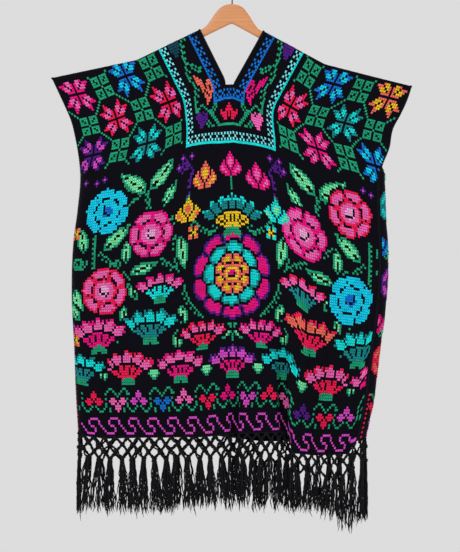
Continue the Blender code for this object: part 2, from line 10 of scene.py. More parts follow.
import bpy
import numpy as np
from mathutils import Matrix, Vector


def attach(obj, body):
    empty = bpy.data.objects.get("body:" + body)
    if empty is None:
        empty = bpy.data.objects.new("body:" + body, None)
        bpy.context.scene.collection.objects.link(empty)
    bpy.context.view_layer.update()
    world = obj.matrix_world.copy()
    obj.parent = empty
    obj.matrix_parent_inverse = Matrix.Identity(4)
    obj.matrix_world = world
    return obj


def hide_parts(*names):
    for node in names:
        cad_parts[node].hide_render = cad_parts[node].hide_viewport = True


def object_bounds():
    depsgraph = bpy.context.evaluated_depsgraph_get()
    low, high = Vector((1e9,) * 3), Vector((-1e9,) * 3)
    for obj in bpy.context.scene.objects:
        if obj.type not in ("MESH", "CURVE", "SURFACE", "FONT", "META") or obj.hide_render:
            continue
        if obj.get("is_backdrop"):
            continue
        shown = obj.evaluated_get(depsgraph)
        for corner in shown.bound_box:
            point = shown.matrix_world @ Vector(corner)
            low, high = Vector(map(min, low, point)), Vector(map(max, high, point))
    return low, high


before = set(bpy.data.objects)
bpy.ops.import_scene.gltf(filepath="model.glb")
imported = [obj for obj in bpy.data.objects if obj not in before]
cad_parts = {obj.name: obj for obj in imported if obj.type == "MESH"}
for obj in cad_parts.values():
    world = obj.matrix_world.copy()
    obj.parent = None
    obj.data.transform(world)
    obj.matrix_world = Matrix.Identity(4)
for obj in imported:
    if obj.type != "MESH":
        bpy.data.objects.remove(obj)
CAD_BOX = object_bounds()

MM = 0.001

# The cloth, laid flat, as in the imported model
HALF_WIDTH = 381.0
LENGTH = 945.0
SLIT_HALF = 11.25
SLIT_LENGTH = 132.3
WALL = 1.8
GAP = 0.3

# The hanger, in its own frame
HANGER_THICK = 11.5
HANGER_TILT = math.radians(1.3)
ARM_SLOPE = math.radians(27.1)
ARM_TIP = 226.0
TIP_ROUND = 11.0
CROWN_TOP = -56.7
UNDERSIDE_TOP = -103.7
UNDERSIDE_SLOPE = 0.52
UNDERSIDE_ROUND = 3.0
# Each x of the crown with its drop below the top
CROWN = ((0, 0), (18, 3.5), (32, 14), (42, 27.5), (52, 43), (60, 53.6), (68, 60.2))

# The hook: a round rod, bent into a loop and brought over the middle of the wood
ROD = 3.2
LOOP_RADIUS = 19.0
LOOP_TIP = math.radians(-28.0)
LOOP_FOOT = math.radians(228.0)
BEND_PULL = (9.0, 7.2)
SHANK_TOP = -47.0
SHANK_SUNK = 13.0

# The shoulder fold
NECK_REACH = 74.4
NECK_TOP = -118.8
ARM_REACH = 164.5
TAIL_SLOPE = math.radians(13.2)
SEAT_GAP = 0.35
FOLD_RADIUS = HANGER_THICK / 2 + SEAT_GAP + WALL / 2
FOLD_TURN = FOLD_RADIUS * math.pi / 2

# How each half swings inward (degrees), where down the cloth it turns plumb, and how both change outward
#                swing  swing lost at edge  plumb at  plumb grows outward
SWING = {
    "left": (26.5, 5.8, 117.0, 0.13),
    "right": (29.1, 9.4, 129.0, 0.10),
}
TURN_SHORT = 25.0
TURN_GROWS = 240.0
YOKE_DEPTH = 250.0
STRETCH_EDGE = 0.97
STRETCH_NECK = 0.17

# The left and right edges seen from the front at each depth of cloth, as (v, left, right)
OUTLINE = (
    (0, -425, 420), (35, -410, 410), (80, -391, 391), (110, -379, 376), (160, -367, 367), (250, -356, 359),
    (340, -362, 359), (430, -372, 363), (580, -376, 357), (720, -370, 341), (850, -366, 327),
    (945, -361, 310),
)
MERGE_START = 200.0
MERGE_LENGTH = 250.0

# How far each panel stands from the middle, as (v, distance)
DEPTH = ((11, 7.2), (60, 12), (130, 19), (250, 27), (500, 33), (945, 36))

# Side seams, and how far each edge has turned to its seam (degrees from lying flat: left, right)
ARMHOLE_TURN = 150.0
ARMHOLE = 240.0
RIGHT_SEAM_INSET = 19.0
WRAP = {"front": (90, 26), "back": (90, 154)}

# Height of the hem, across each panel, as (u, z)
HEM = {
    "front": (
        (-381, -1060), (-330, -1071), (-100, -1071), (0, -1063), (153.6, -1060), (208.6, -1108),
        (270, -1113), (352, -1110), (381, -1079),
    ),
    "back": ((-381, -1060), (-300, -1078), (-60, -1070), (80, -1084), (260, -1074), (381, -1079)),
}

# The main folds, as ridges (+) and troughs (-), and the depths of cloth where each starts, is whole and goes.
# One that runs on past the hem has no last two.
#    u top  u hem  half  height  start  whole  fade  gone
FOLDS = {
    "front": (
        (-128, -150, 34, -6, 30, 80, 220, 330),
        (132, 152, 34, -6, 30, 80, 220, 330),
        (-196, -215, 52, 6, 30, 90, 190, 320),
        (198, 215, 52, 6, 30, 90, 190, 320),
        (0, 0, 44, 8, 131, 174, 260, 420),
        (-342, -335, 30, -7, 300, 480),
        (-282, -272, 52, -9, 340, 620),
        (-205, -192, 46, 9, 300, 560),
        (-110, -105, 52, -6, 420, 700),
        (-50, -42, 36, 8, 600, 860),
        (6, 6, 27, -15, 740, 910),
        (50, 50, 34, 8, 600, 860),
        (96, 110, 34, 6, 640, 880),
        (-5, 166.6, 36, -19, 540, 850),
        (80, 218.6, 46, 14, 420, 840),
        (236, 284, 40, -8, 430, 760),
        (296, 330, 30, 6, 380, 740),
    ),
    "back": (
        (-130, -150, 34, -6, 30, 80, 220, 330),
        (130, 150, 34, -6, 30, 80, 220, 330),
        (-196, -215, 52, 6, 30, 90, 190, 320),
        (196, 215, 52, 6, 30, 90, 190, 320),
        (0, 0, 44, 7, 131, 174, 260, 420),
        (-330, -318, 34, -8, 320, 520),
        (-250, -262, 48, 9, 330, 640),
        (-165, -180, 46, -12, 380, 740),
        (-92, -98, 44, 9, 520, 820),
        (-20, -30, 40, -10, 640, 880),
        (42, 40, 40, 9, 560, 860),
        (112, 120, 46, -11, 420, 760),
        (190, 196, 46, 10, 340, 660),
        (258, 262, 36, -7, 400, 720),
    ),
}

# Small creases that only the looks have, along straight lines on the flat cloth: ridges (+) and troughs (-)
#    from u  v   to u  v   half  height
CREASES = {
    "front": (
        (-300, 30, -190, 150, 16, -1.8), (-250, 20, -120, 190, 18, 1.6), (-340, 70, -230, 230, 20, -1.7),
        (290, 25, 180, 160, 16, -1.8), (235, 20, 110, 180, 18, 1.6), (345, 70, 245, 220, 20, -1.5),
        (-60, 150, -35, 300, 14, 1.7), (58, 150, 38, 310, 14, 1.7), (-330, 300, -300, 520, 15, 1.5),
        (-160, 380, -150, 760, 17, -1.6), (-245, 560, -238, 940, 13, 1.8), (-318, 600, -310, 945, 12, 1.6),
        (-20, 430, -14, 700, 16, -1.4), (70, 420, 78, 720, 15, 1.6), (130, 560, 136, 860, 13, -1.7),
        (205, 520, 198, 900, 12, 1.8), (262, 470, 258, 930, 12, -1.6), (325, 420, 318, 900, 12, 1.4),
    ),
    "back": (
        (-300, 30, -180, 160, 16, -1.8), (-240, 25, -110, 190, 18, 1.6), (295, 30, 185, 150, 16, -1.8),
        (240, 20, 120, 200, 18, 1.6), (-60, 150, -40, 290, 14, 1.6), (60, 150, 36, 300, 14, 1.6),
        (-205, 430, -214, 860, 15, -1.6), (-290, 480, -296, 930, 14, 1.6), (-55, 560, -60, 900, 14, -1.6),
        (78, 480, 84, 880, 15, -1.5), (150, 440, 160, 900, 14, 1.7), (230, 470, 232, 930, 13, -1.7),
    ),
}
# The share of a crease over which each end fades, and how far from the fold and the side edges all are whole
CREASE_TAPER = 0.3
CREASE_OFF_FOLD = 30.0
CREASE_OFF_EDGE = 14.0
# The cloth's own unevenness, as waves: height, per mm across and down, start, per mm down, its start
RIPPLES = ((0.4, 0.061, 0.012, 1.3, 0.047, 0.4), (0.25, 0.113, -0.02, 0.4, 0.089, 2.0))

# The chart: one stitch is this wide and this high
CELL_W = 4.5
CELL_H = 6.3
EDGE_COL = 84
ROWS = 150
SLIT_COL = 2
SLIT_ROWS = 21

# Cloth turned in behind the right seam of the front, and where down the cloth that begins and is whole
TURNED_IN = 41.0
TURNED_FROM = 150.0
TURNED_WHOLE = 250.0

# How far the stitched rows have slid down over the shoulder's outer part, from which u, and over how much
SLID = {"left": (21.0, 190.0, 130.0), "right": (11.0, 90.0, 120.0)}
SLID_WHOLE = 80.0
SLID_FADES = 125.0

# Where the weave has shifted at the foot of the yoke: by how much, and how far around that is felt
#    u      v     across  down   half width, half height
SHIFTS = (
    (-122.0, 262.0, 8.0, -18.0, 150.0, 130.0),
    (122.0, 262.0, -8.0, -18.0, 150.0, 130.0),
)

# The threads, as seen in plain light (red, green, blue of 255)
THREADS = {
    "magenta": (240, 0, 128),
    "red": (255, 16, 80),
    "pink": (255, 100, 178),
    "blush": (255, 170, 216),
    "orchid": (214, 72, 194),
    "purple": (80, 16, 132),
    "cobalt": (0, 112, 208),
    "sky": (0, 208, 252),
    "turquoise": (0, 226, 222),
    "ice": (124, 226, 232),
    "teal": (8, 136, 138),
    "petrol": (8, 66, 84),
    "green": (20, 158, 114),
    "mint": (120, 236, 166),
    "yellow": (252, 198, 24),
    "salmon": (255, 108, 88),
}
THREAD_NAMES = list(THREADS)
BARE = -1


def smooth(t):
    """0 to 1 with level ends."""
    t = np.clip(t, 0.0, 1.0)
    return t * t * (3.0 - 2.0 * t)


class Chart:
    """Which thread covers each cell of one side of the cloth. Drawing on side -1 mirrors it to the left."""

    def __init__(self):
        self.cells = np.full((ROWS, 2 * EDGE_COL + 1), BARE)
        self.side = 1
        self.window()

    def window(self, inner=0, outer=EDGE_COL, top=0, bottom=ROWS - 1):
        """Limits what is drawn next to columns inner to outer on both sides, and rows top to bottom."""
        self.inner, self.outer, self.top, self.bottom = inner, outer, top, bottom

    def put(self, col, row, thread):
        col, row = self.side * math.floor(col + 0.5), math.floor(row + 0.5)
        if not (self.inner <= abs(col) <= self.outer and self.top <= row <= self.bottom):
            return
        if row < SLIT_ROWS and abs(col) <= SLIT_COL:
            return
        self.cells[row, col + EDGE_COL] = BARE if thread is None else THREAD_NAMES.index(thread)

    def motif(self, col, row, lines, thread, light=None, flip=1):
        """A small listed chart, its top middle at col and row: '#' thread, 'o' light, '.' bare."""
        threads = {"#": thread, "o": light or thread, ".": None}
        for j, line in enumerate(lines):
            for i, mark in enumerate(line):
                if mark in threads:
                    self.put(col + flip * (i - (len(line) - 1) / 2), row + j, threads[mark])

    def line(self, points, thread, step=1.0):
        """A line of stitches through points (col, row). A step over 1 leaves it dotted."""
        for (c0, r0), (c1, r1) in zip(points, points[1:]):
            count = max(int(round(max(abs(c1 - c0), abs(r1 - r0)) / step)), 1)
            for k in range(count + 1):
                self.put(c0 + (c1 - c0) * k / count, r0 + (r1 - r0) * k / count, thread)

    def stalk(self, points, thread="green"):
        """A line through points in millimetres, with a second, broken line beside it."""
        cells = [(x / CELL_W, y / CELL_H) for x, y in points]
        self.line(cells, thread)
        self.line([(c + 1, r + 1) for c, r in cells], thread, step=2.0)

    def area(self, x, y, reach, shade):
        """Asks shade(dx, dy), in millimetres from (x, y), for the thread of each cell in reach."""
        for c in range(math.floor((x - reach) / CELL_W), math.ceil((x + reach) / CELL_W) + 1):
            for r in range(math.floor((y - reach) / CELL_H), math.ceil((y + reach) / CELL_H) + 1):
                thread = shade(c * CELL_W - x, r * CELL_H - y)
                if thread != "leave":
                    self.put(c, r, thread)


def pitch(x, y, cell_h=CELL_H):
    """Distance between neighbouring cells in the direction (x, y)."""
    size = max(math.hypot(x, y), 1e-6)
    return math.hypot(CELL_W * x / size, cell_h * y / size)


# Listed charts of ordinary flowers and leaves
TREFOIL = (
    "    #    ",
    "   ###   ",
    "   ###   ",
    " ##.#.## ",
    "####.####",
    " ##...## ",
)
LOTUS = (
    "      #      ",
    "     ###     ",
    "    ##o##    ",
    "  # #ooo# #  ",
    " ##.#ooo#.## ",
    "#o##.#o#.##o#",
    "#oo##.#.##oo#",
    " ##o##.##o## ",
    "   ###.###   ",
)
HEART = (
    "     #     ",
    "    ###    ",
    "#  #####  #",
    "####.#.####",
    " ###.#.### ",
    "  ##...##  ",
)
LILY = (
    "#      ",
    "##     ",
    "###    ",
    "###. ##",
    ".##.###",
    " ##.#.#",
    " #.##.#",
    "  #.###",
    "  ##.# ",
    "  .### ",
    "   ##  ",
    "   #   ",
)
BELL = (
    " ##.#  ",
    "##o#.##",
    "#oo##o#",
    ".#ooo##",
    " #ooo#.",
    "  #o#  ",
    "  ##   ",
)
SPRIG = (
    "##   ",
    "#.#  ",
    " #.##",
    "  ## ",
)
BERRY = (
    " # ",
    "#o#",
    " # ",
)
SMALL_FLOWER = (
    " ##.## ",
    " #o.o# ",
    "..oo...",
    " #o.o# ",
    " ##.## ",
)


def star(chart, col, row, edge, light):
    """An eight-pointed star: two petals in each quarter, parted by bare axes, with pinholes between."""
    for i in range(1, 8):
        for j in range(1, 8):
            low, high = min(i, j), max(i, j)
            if low > 4 or low < high - 3:
                continue
            thread = light if 2 <= low <= 3 and 3 <= high <= 5 else edge
            if i == j and i >= 2:
                thread = None
            for across in (-1, 1):
                for down in (-1, 1):
                    chart.put(col + across * i, row + down * j, thread)


def square_rings(chart, col, row):
    """Four small squares with pinholes, and the dotted diagonals that lead to the next ones."""
    for across in (-1, 1):
        for down in (-1, 1):
            for i in range(1, 5):
                for j in range(1, 5):
                    hole = i == j and i in (2, 3)
                    chart.put(col + across * i, row + down * j, None if hole else "green")
            for k in range(5, 10):
                chart.put(col + across * k, row + down * k, "green")
    chart.put(col, row, "green")


LATTICE_STEP = 14
LATTICE_FIRST = 34
LATTICE_LAST = 39
LATTICE_INNER = 29
LATTICE_ROWS = 4
LATTICE_COLS = 5


def lattice(chart, first_row, star_first, colours):
    """Stars and square rings in turn, beside the neck bands and down to the foot of the yoke."""
    chart.window(inner=LATTICE_INNER, bottom=LATTICE_LAST)
    for chart.side in (-1, 1):
        for n in range(LATTICE_ROWS):
            for m in range(LATTICE_COLS):
                place = LATTICE_FIRST + m * LATTICE_STEP, first_row + n * LATTICE_STEP
                if (m + n) % 2 != (0 if star_first else 1):
                    square_rings(chart, *place)
                elif (chart.side, n, m) in colours:
                    star(chart, *place, *colours[(chart.side, n, m)])
    chart.window()


def little_cross(chart, col, row, thread):
    for i, j in ((0, 0), (-1, -1), (1, -1), (-1, 1), (1, 1)):
        chart.put(col + i, row + j, thread)


def neck_band(chart, line_col, last_row, cross_col, line_thread, cross_thread):
    """A line down both sides and below the neck, with a row of little crosses inside it."""
    for chart.side in (-1, 1):
        chart.line([(line_col, 0), (line_col, last_row), (0, last_row)], line_thread)
        for row in range(last_row - 2, -2, -4):
            little_cross(chart, cross_col, row, cross_thread)
        for col in range(0, cross_col - 1, 4):
            little_cross(chart, col, last_row - 2, cross_thread)


def yoke_flowers(chart, upper, middle, lower, heart):
    """The vine and flowers between the two neck bands. Upper, middle and lower threads are (left, right)."""
    for k, chart.side in enumerate((-1, 1)):
        chart.window(outer=21, bottom=35)
        vine = [(13, 0), (16, 4), (17, 8), (19, 13), (18, 18), (20, 22), (20, 27)]
        chart.line(vine, "green")
        chart.line([(c - 1, r + 1) for c, r in vine[:-1]], "green", step=2.0)
        chart.motif(13, 10, SPRIG, "green", flip=-1)
        chart.motif(13, 14, LILY, middle[k], flip=-1)
        chart.motif(19, -1, BELL, upper[k], flip=-1)
        arm = [(19, 28), (19, 26), (16, 25), (13, 28), (8, 33), (6, 34), (0, 34)]
        chart.line(arm, "green")
        chart.line([(c - 1, r) for c, r in arm[3:6]], "green")
        chart.motif(10, 26, SPRIG, "green")
        chart.motif(12, 32, SPRIG[:3], "green", flip=-1)
        chart.motif(17, 28, BELL, lower[k], flip=-1)
    chart.motif(0, 27, HEART, heart)
    chart.window()


def rose(chart, x, y, radius, edge, body, heart=None, petals=6, lean=0.0, tall=1.2):
    """A round flower, drawn tall: scalloped petals, a broken bare ring, and a bud with a bare curl."""

    def shade(dx, dy):
        dy /= tall
        rho, step = math.hypot(dx, dy), pitch(dx, dy, CELL_H / tall)
        turn = ((math.atan2(dy, dx) + lean) * petals / (2 * math.pi)) % 1.0
        off = abs(turn - 0.5) * 2
        rim = radius * (1 - 0.1 * off**3)
        if rho > rim + step:
            return "leave"
        if rho > rim:
            return None
        ring, to_side = radius * 0.62, (1 - off) * math.pi / petals * rho
        if rho > ring:
            if to_side < 1.6 and rho > ring + step:
                return None
            return edge if rim - rho < step or to_side < 5.0 else body
        if rho > ring - step:
            return edge if to_side < 4.5 else None
        if rho > ring - 2 * step:
            return edge
        bud = math.hypot(dx + 0.08 * radius, dy + 0.08 * radius)
        if 0.2 * radius < bud < 0.2 * radius + step * 0.9 and dx + dy > -0.1 * radius:
            return None
        return (heart or body) if rho < 0.24 * radius else body

    chart.area(x, y, radius * tall + 2 * CELL_H, shade)


def leaf(chart, x, y, angle, length, wide):
    """A pointed leaf, from its stalk end, with a broken bare midrib. Its angle turns from +u downward."""
    a = math.radians(angle)
    along_step = pitch(math.cos(a), math.sin(a))
    across_step = pitch(math.sin(a), math.cos(a))

    def shade(dx, dy):
        along, off = dx * math.cos(a) + dy * math.sin(a), abs(dy * math.cos(a) - dx * math.sin(a))
        s = along / length
        if not -0.04 <= s <= 1.05:
            return "leave"
        half = wide / 2 * math.sin(math.pi * min(max(s, 0.0), 1.0) ** 0.85)
        if off > half + across_step:
            return "leave"
        if off > half or not 0 <= s <= 1:
            return None
        if off < across_step * 0.42 and 0.1 < s < 0.84 and (along / along_step) % 5 > 0.9:
            return None
        return "green" if half - off < across_step * 0.95 or s > 0.93 else "mint"

    chart.area(x, y, length + CELL_H, shade)


UPWARD = math.radians(-90.0)
CARNATION_SPREAD = math.radians(54.0)


def carnation(chart, x, y, radius, edge, body, heart, petals=5):
    """A carnation from the side: petals with toothed tips that open from (x, y), above a green cup."""
    spread = CARNATION_SPREAD

    def shade(dx, dy):
        rho, step = math.hypot(dx, dy), pitch(dx, dy)
        turn = (math.atan2(dy, dx) - UPWARD + math.pi) % (2 * math.pi) - math.pi
        if rho < 0.2 * radius:
            return "green" if abs(turn) < 2.0 else "leave"
        if abs(turn) > spread + 1.2 * step / rho or rho > radius + step:
            return "leave"
        place = (turn + spread) / (2 * spread) * petals % 1.0
        off = abs(place - 0.5) * 2
        rim = radius * (1 - 0.13 * off**2) - (step if 0.35 < off < 0.6 else 0.0)
        to_side = (1 - off) * spread / petals * rho
        if abs(turn) > spread or rho > rim or (to_side < 2.0 and rho > 0.3 * radius):
            return None
        if rho > rim - step:
            return edge
        if abs(rho - 0.6 * radius) < 0.55 * step:
            return None
        return heart if rho < 0.6 * radius else body

    chart.area(x, y, radius + 2 * CELL_H, shade)


CURL_STEPS = 30
CURL_START = 3.0


def curl(chart, x, y, turns, growth, thread, start=0.0):
    """A spiral tendril that grows outward from (x, y)."""
    for k in range(int(turns * CURL_STEPS)):
        angle, reach = start + 2 * math.pi * k / CURL_STEPS, CURL_START + growth * k / CURL_STEPS
        chart.put((x + reach * math.cos(angle)) / CELL_W, (y + reach * math.sin(angle)) / CELL_H, thread)


FIELD_TOP = 42
FIELD_FOOT = 128
# Threads as (edge, body, heart)
MAGENTA_ROSE = ("magenta", "pink", "blush")
RED_ROSE = ("red", "pink", "blush")
SKY_ROSE = ("sky", "sky", "cobalt")
MAGENTA = ("magenta", "pink", "magenta")
RED = ("red", "pink", "red")
TEAL = ("teal", "turquoise", "teal")
#    side  x    y   radius  threads
ROSES = (
    (-1, 294, 361, 49, SKY_ROSE),
    (-1, 188, 431, 50, MAGENTA_ROSE),
    (-1, 292, 567, 51, RED_ROSE),
    (1, 275, 345, 50, RED_ROSE),
    (1, 166, 424, 52, MAGENTA_ROSE),
    (1, 276, 560, 51, SKY_ROSE),
)
#    x    y    angle  length  width
LEAVES = (
    (208, 330, -45, 86, 36), (200, 324, -132, 78, 36), (296, 464, -133, 88, 34), (244, 500, -94, 64, 24),
    (234, 530, -157, 70, 30), (340, 462, -80, 66, 28), (120, 448, 98, 84, 30), (360, 556, 96, 84, 32),
    (112, 668, -88, 52, 26), (248, 654, -88, 46, 24), (126, 724, -90, 46, 24), (61, 800, -90, 50, 24),
    (182, 800, -90, 50, 24), (300, 800, -90, 52, 24), (164, 366, -118, 54, 24), (52, 432, 160, 40, 20),
    (214, 596, -62, 52, 22), (24, 716, -118, 48, 22), (350, 640, -60, 60, 26),
)
#    x    y   radius  threads on the left, and on the right
CARNATIONS = (
    (164, 604, 72, ("magenta", "pink", "turquoise"), ("red", "pink", "teal")),
    (68, 732, 70, RED, MAGENTA),
    (188, 704, 86, TEAL, ("red", "salmon", "red")),
    (308, 722, 88, MAGENTA, TEAL),
    (122, 806, 78, MAGENTA, TEAL),
    (244, 806, 84, RED, RED),
    (352, 806, 78, TEAL, MAGENTA),
)
#    x    y   threads on the left, and on the right, as (thread, light)
LOTUSES = (
    (66, 294, ("salmon", "yellow"), ("magenta", "pink")),
    (104, 366, ("yellow", "salmon"), ("turquoise", "mint")),
)
BERRIES = ((104, 270), (124, 272), (136, 290), (306, 270), (326, 278), (352, 268), (368, 650))
SMALL_FLOWERS = ((88, 436), (366, 400), (366, 680))
GREEN_STALKS = (
    ((0, 690), (50, 680), (98, 610), (124, 530), (130, 460), (140, 400)),
    ((124, 530), (180, 480), (236, 440), (262, 400)),
    ((194, 372), (204, 326), (240, 344)),
    ((0, 462), (60, 450), (98, 410), (104, 350)),
    ((316, 512), (316, 410)),
    ((236, 540), (300, 466)),
    ((262, 690), (274, 650), (286, 610)),
)


def field_front(chart):
    """The middle of the front: a garden of roses, carnations, lotuses and leaves about one round flower."""
    chart.window(top=FIELD_TOP, bottom=FIELD_FOOT)
    chart.line([(0, FIELD_FOOT), (0, 52)], "green")
    for k, chart.side in enumerate((-1, 1)):
        for points in GREEN_STALKS:
            chart.stalk(points)
        chart.stalk(((104, 350), (100, 310), (120, 276)), "purple")
        curl(chart, 352, 490, 1.6, 10.0, "green")
        curl(chart, 270, 502, 1.4, 8.0, "green", start=2.0)
        curl(chart, 118, 300, 1.2, 8.0, "purple")

        for place in LEAVES:
            leaf(chart, *place)
        for on, x, y, radius, threads in ROSES:
            if on == chart.side:
                rose(chart, x, y, radius, *threads, lean=0.003 * x)
        for x, y, radius, *threads in CARNATIONS:
            carnation(chart, x, y, radius, *threads[k])
        for x, y, *threads in LOTUSES:
            chart.motif(x / CELL_W, y / CELL_H, LOTUS, *threads[k])
        for x, y in BERRIES:
            chart.motif(x / CELL_W, y / CELL_H, BERRY, "purple", "orchid")
        for x, y in SMALL_FLOWERS:
            chart.motif(x / CELL_W, y / CELL_H, SMALL_FLOWER, ("salmon", "turquoise")[k], "yellow")
    rose(chart, 0, 560, 90, "purple", "magenta", petals=10)
    rose(chart, 0, 560, 64, "teal", "turquoise", petals=8, lean=0.3)
    rose(chart, 0, 560, 40, "salmon", "yellow", heart="magenta", petals=8)
    carnation(chart, 0, 466, 96, "turquoise", "teal", "yellow", petals=7)
    carnation(chart, 0, 806, 76, "purple", "orchid", "magenta")
    chart.motif(0, 276 / CELL_H, LOTUS, "magenta", "pink")
    chart.window()


BACK_THREADS = (
    ("magenta", "pink"),
    ("cobalt", "sky"),
    ("red", "salmon"),
    ("purple", "orchid"),
    ("teal", "turquoise"),
)
BACK_STEP = 84
BACK_ROW_STEP = 104
BACK_FIRST_Y = 312


def field_back(chart):
    """The middle of the back: a plain repeat of roses and lotuses."""
    chart.window(top=FIELD_TOP, bottom=FIELD_FOOT)
    for n in range(5):
        for m in range(-5, 6):
            x, y = BACK_STEP * m + n % 2 * BACK_STEP // 2, BACK_FIRST_Y + BACK_ROW_STEP * n
            if abs(x) > HALF_WIDTH:
                continue
            edge, light = BACK_THREADS[(2 * n + m) % len(BACK_THREADS)]
            if (m + n) % 2 == 0:
                rose(chart, x, y, BACK_STEP // 2, edge, light, heart="yellow")
            else:
                leaf(chart, x - 6, y + 34, 200, 34, 20)
                leaf(chart, x + 6, y + 34, -20, 34, 20)
                chart.motif(x / CELL_W, y / CELL_H - 4, LOTUS, edge, light)
    chart.window()


TREFOIL_TOP = 130
TREFOIL_STEP = 11.5
TREFOIL_FIRST = -72
TREFOIL_EDGE = 82
SCROLL_TOP = 142
SCROLL_STEP = 10
SCROLL_FIRST = -84
SCROLL_EDGE = 79
SCROLLS = 18


def trefoil_band(chart, colours):
    """Trefoils up and down in turn, in the bends of a dotted vine."""
    chart.window(outer=TREFOIL_EDGE)
    for k, thread in enumerate(colours):
        col = TREFOIL_FIRST + TREFOIL_STEP * k
        up = k % 2 == 0
        top, way = (TREFOIL_TOP + 9, -1) if up else (TREFOIL_TOP, 1)
        for across in (-1, 1):
            for i, j in ((3, 0), (4, 0), (2, 1), (5, 1), (1, 2), (6, 2), (0, 3)):
                chart.put(col + across * i, top + way * j, "green")
            for i, j in ((6, 3), (6, 5), (6, 7), (8, 0), (8, 1)) if up else ():
                chart.put(col + across * i, top + way * j, "green")
        lines = TREFOIL if up else TREFOIL[::-1]
        chart.motif(col, TREFOIL_TOP + (1 if up else 4), lines, thread)
    chart.window()


def scroll_band(chart):
    """A running scroll: bars above and below, joined by dotted diagonals, each with a small hook."""
    chart.window(outer=SCROLL_EDGE)
    bars = [(i, 0) for i in range(4)] + [(8 + i, 6) for i in range(4)]
    diagonal = [(3.5 + i * 0.9, 1 + i) for i in range(5)]
    hooks = [(-1, 1), (-1, 2), (0, 3), (1, 3), (12, 5), (12, 4), (11, 3), (10, 3)]
    for k in range(SCROLLS):
        for i, j in bars + diagonal + hooks:
            chart.put(SCROLL_FIRST + SCROLL_STEP * k + i, SCROLL_TOP + j, "orchid")
    chart.window()


# Threads of the stars as (edge, light), by side, row of the lattice and place outward
FRONT_STARS = {
    (-1, 1, 1): ("cobalt", "sky"),
    (-1, 1, 3): ("magenta", "pink"),
    (-1, 2, 0): ("red", "pink"),
    (-1, 2, 2): ("red", "pink"),
    (-1, 3, 1): ("teal", "turquoise"),
    (-1, 3, 3): ("purple", "orchid"),
    (1, 1, 1): ("cobalt", "sky"),
    (1, 1, 3): ("salmon", "yellow"),
    (1, 2, 0): ("red", "pink"),
    (1, 2, 2): ("teal", "turquoise"),
    (1, 3, 1): ("magenta", "pink"),
    (1, 3, 3): ("cobalt", "sky"),
}
# Stars of the first row behind the shoulder fold, by side and place outward
OVER_STARS = {
    (-1, 0): ("salmon", "yellow"),
    (-1, 2): ("teal", "turquoise"),
    (1, 0): ("magenta", "pink"),
    (1, 2): ("red", "pink"),
}
FRONT_TREFOILS = "red pink orchid cobalt pink red magenta orchid red pink purple red orchid teal".split()
FRONT_FIRST_STAR_ROW = 5 - LATTICE_STEP
BACK_FIRST_STAR_ROW = -6
EDGE_DASH_COL = 83


def bands_and_borders(chart, trefoils):
    neck_band(chart, 9, 25, 7, "cobalt", "cobalt")
    neck_band(chart, 26, 40, 24, "turquoise", "ice")
    trefoil_band(chart, trefoils)
    scroll_band(chart)
    for edge_col in (-EDGE_DASH_COL, EDGE_DASH_COL):
        chart.line([(edge_col, TREFOIL_TOP), (edge_col, SCROLL_TOP + 6)], "red", step=2.0)


def draw_front():
    chart = Chart()
    colours = dict(FRONT_STARS)
    colours.update({(side, 0, m): pair for (side, m), pair in OVER_STARS.items()})
    lattice(chart, FRONT_FIRST_STAR_ROW, True, colours)
    yoke_flowers(chart, ("petrol", "purple"), ("salmon", "magenta"), ("purple", "pink"), "red")
    field_front(chart)
    bands_and_borders(chart, FRONT_TREFOILS)
    return chart.cells


def draw_back():
    """The back carries on from the shoulder fold: its first row lies behind the front's."""
    chart = Chart()
    colours = {(side, 0, m): pair for (side, n, m), pair in FRONT_STARS.items() if n == 1}
    colours.update({(side, 1, m): pair for (side, m), pair in OVER_STARS.items()})
    for side in (-1, 1):
        colours.update({(side, 2, m): FRONT_STARS[(-side, 3, m)] for m in (1, 3)})
        colours.update({(side, 3, m): FRONT_STARS[(-side, 2, m)] for m in (0, 2)})
    lattice(chart, BACK_FIRST_STAR_ROW, False, colours)
    yoke_flowers(chart, ("purple", "petrol"), ("magenta", "salmon"), ("pink", "purple"), "magenta")
    field_back(chart)
    bands_and_borders(chart, FRONT_TREFOILS[::-1])
    return chart.cells


# The hung shape of the cloth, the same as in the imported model


def find(table, at, column=1):
    """Keys and values of a table, the row k before each key at, and how far on it is to the next, 0 to 1."""
    keys, values = (np.array([row[n] for row in table]) for n in (0, column))
    at = np.clip(at, keys[0], keys[-1])
    k = np.clip(np.searchsorted(keys, at) - 1, 0, len(keys) - 2)
    return keys, values, k, (at - keys[k]) / (keys[k + 1] - keys[k])


def through(table, at, column=1):
    """A smooth curve through one column of a table, read at the given keys."""
    keys, values, k, t = find(table, at, column)
    slopes = np.gradient(values, keys)
    step = keys[k + 1] - keys[k]
    rise = values[k + 1] - values[k]
    bend_a = slopes[k] * step - rise
    bend_b = rise - slopes[k + 1] * step
    return values[k] + t * rise + t * (1 - t) * ((1 - t) * bend_a + t * bend_b)


def eased(table, at):
    """Level steps between the rows of a table."""
    _, values, k, t = find(table, at)
    return values[k] + (values[k + 1] - values[k]) * smooth(t)


def hump(t):
    """1 at 0, and 0 from 1 outward on both sides."""
    return 1 - np.clip(t, -1.0, 1.0) ** 2


def tilted(x, z):
    """A point of the hanger's own frame, turned about the hook seat with the hanger."""
    c, s = math.cos(HANGER_TILT), math.sin(HANGER_TILT)
    return x * c + z * s, z * c - x * s


def fall(v):
    """How far down its own plane the cloth is at v, after turning over the fold."""
    if v < FOLD_TURN:
        return FOLD_RADIUS * (1 - math.cos(v / FOLD_RADIUS))
    return FOLD_RADIUS + v - FOLD_TURN


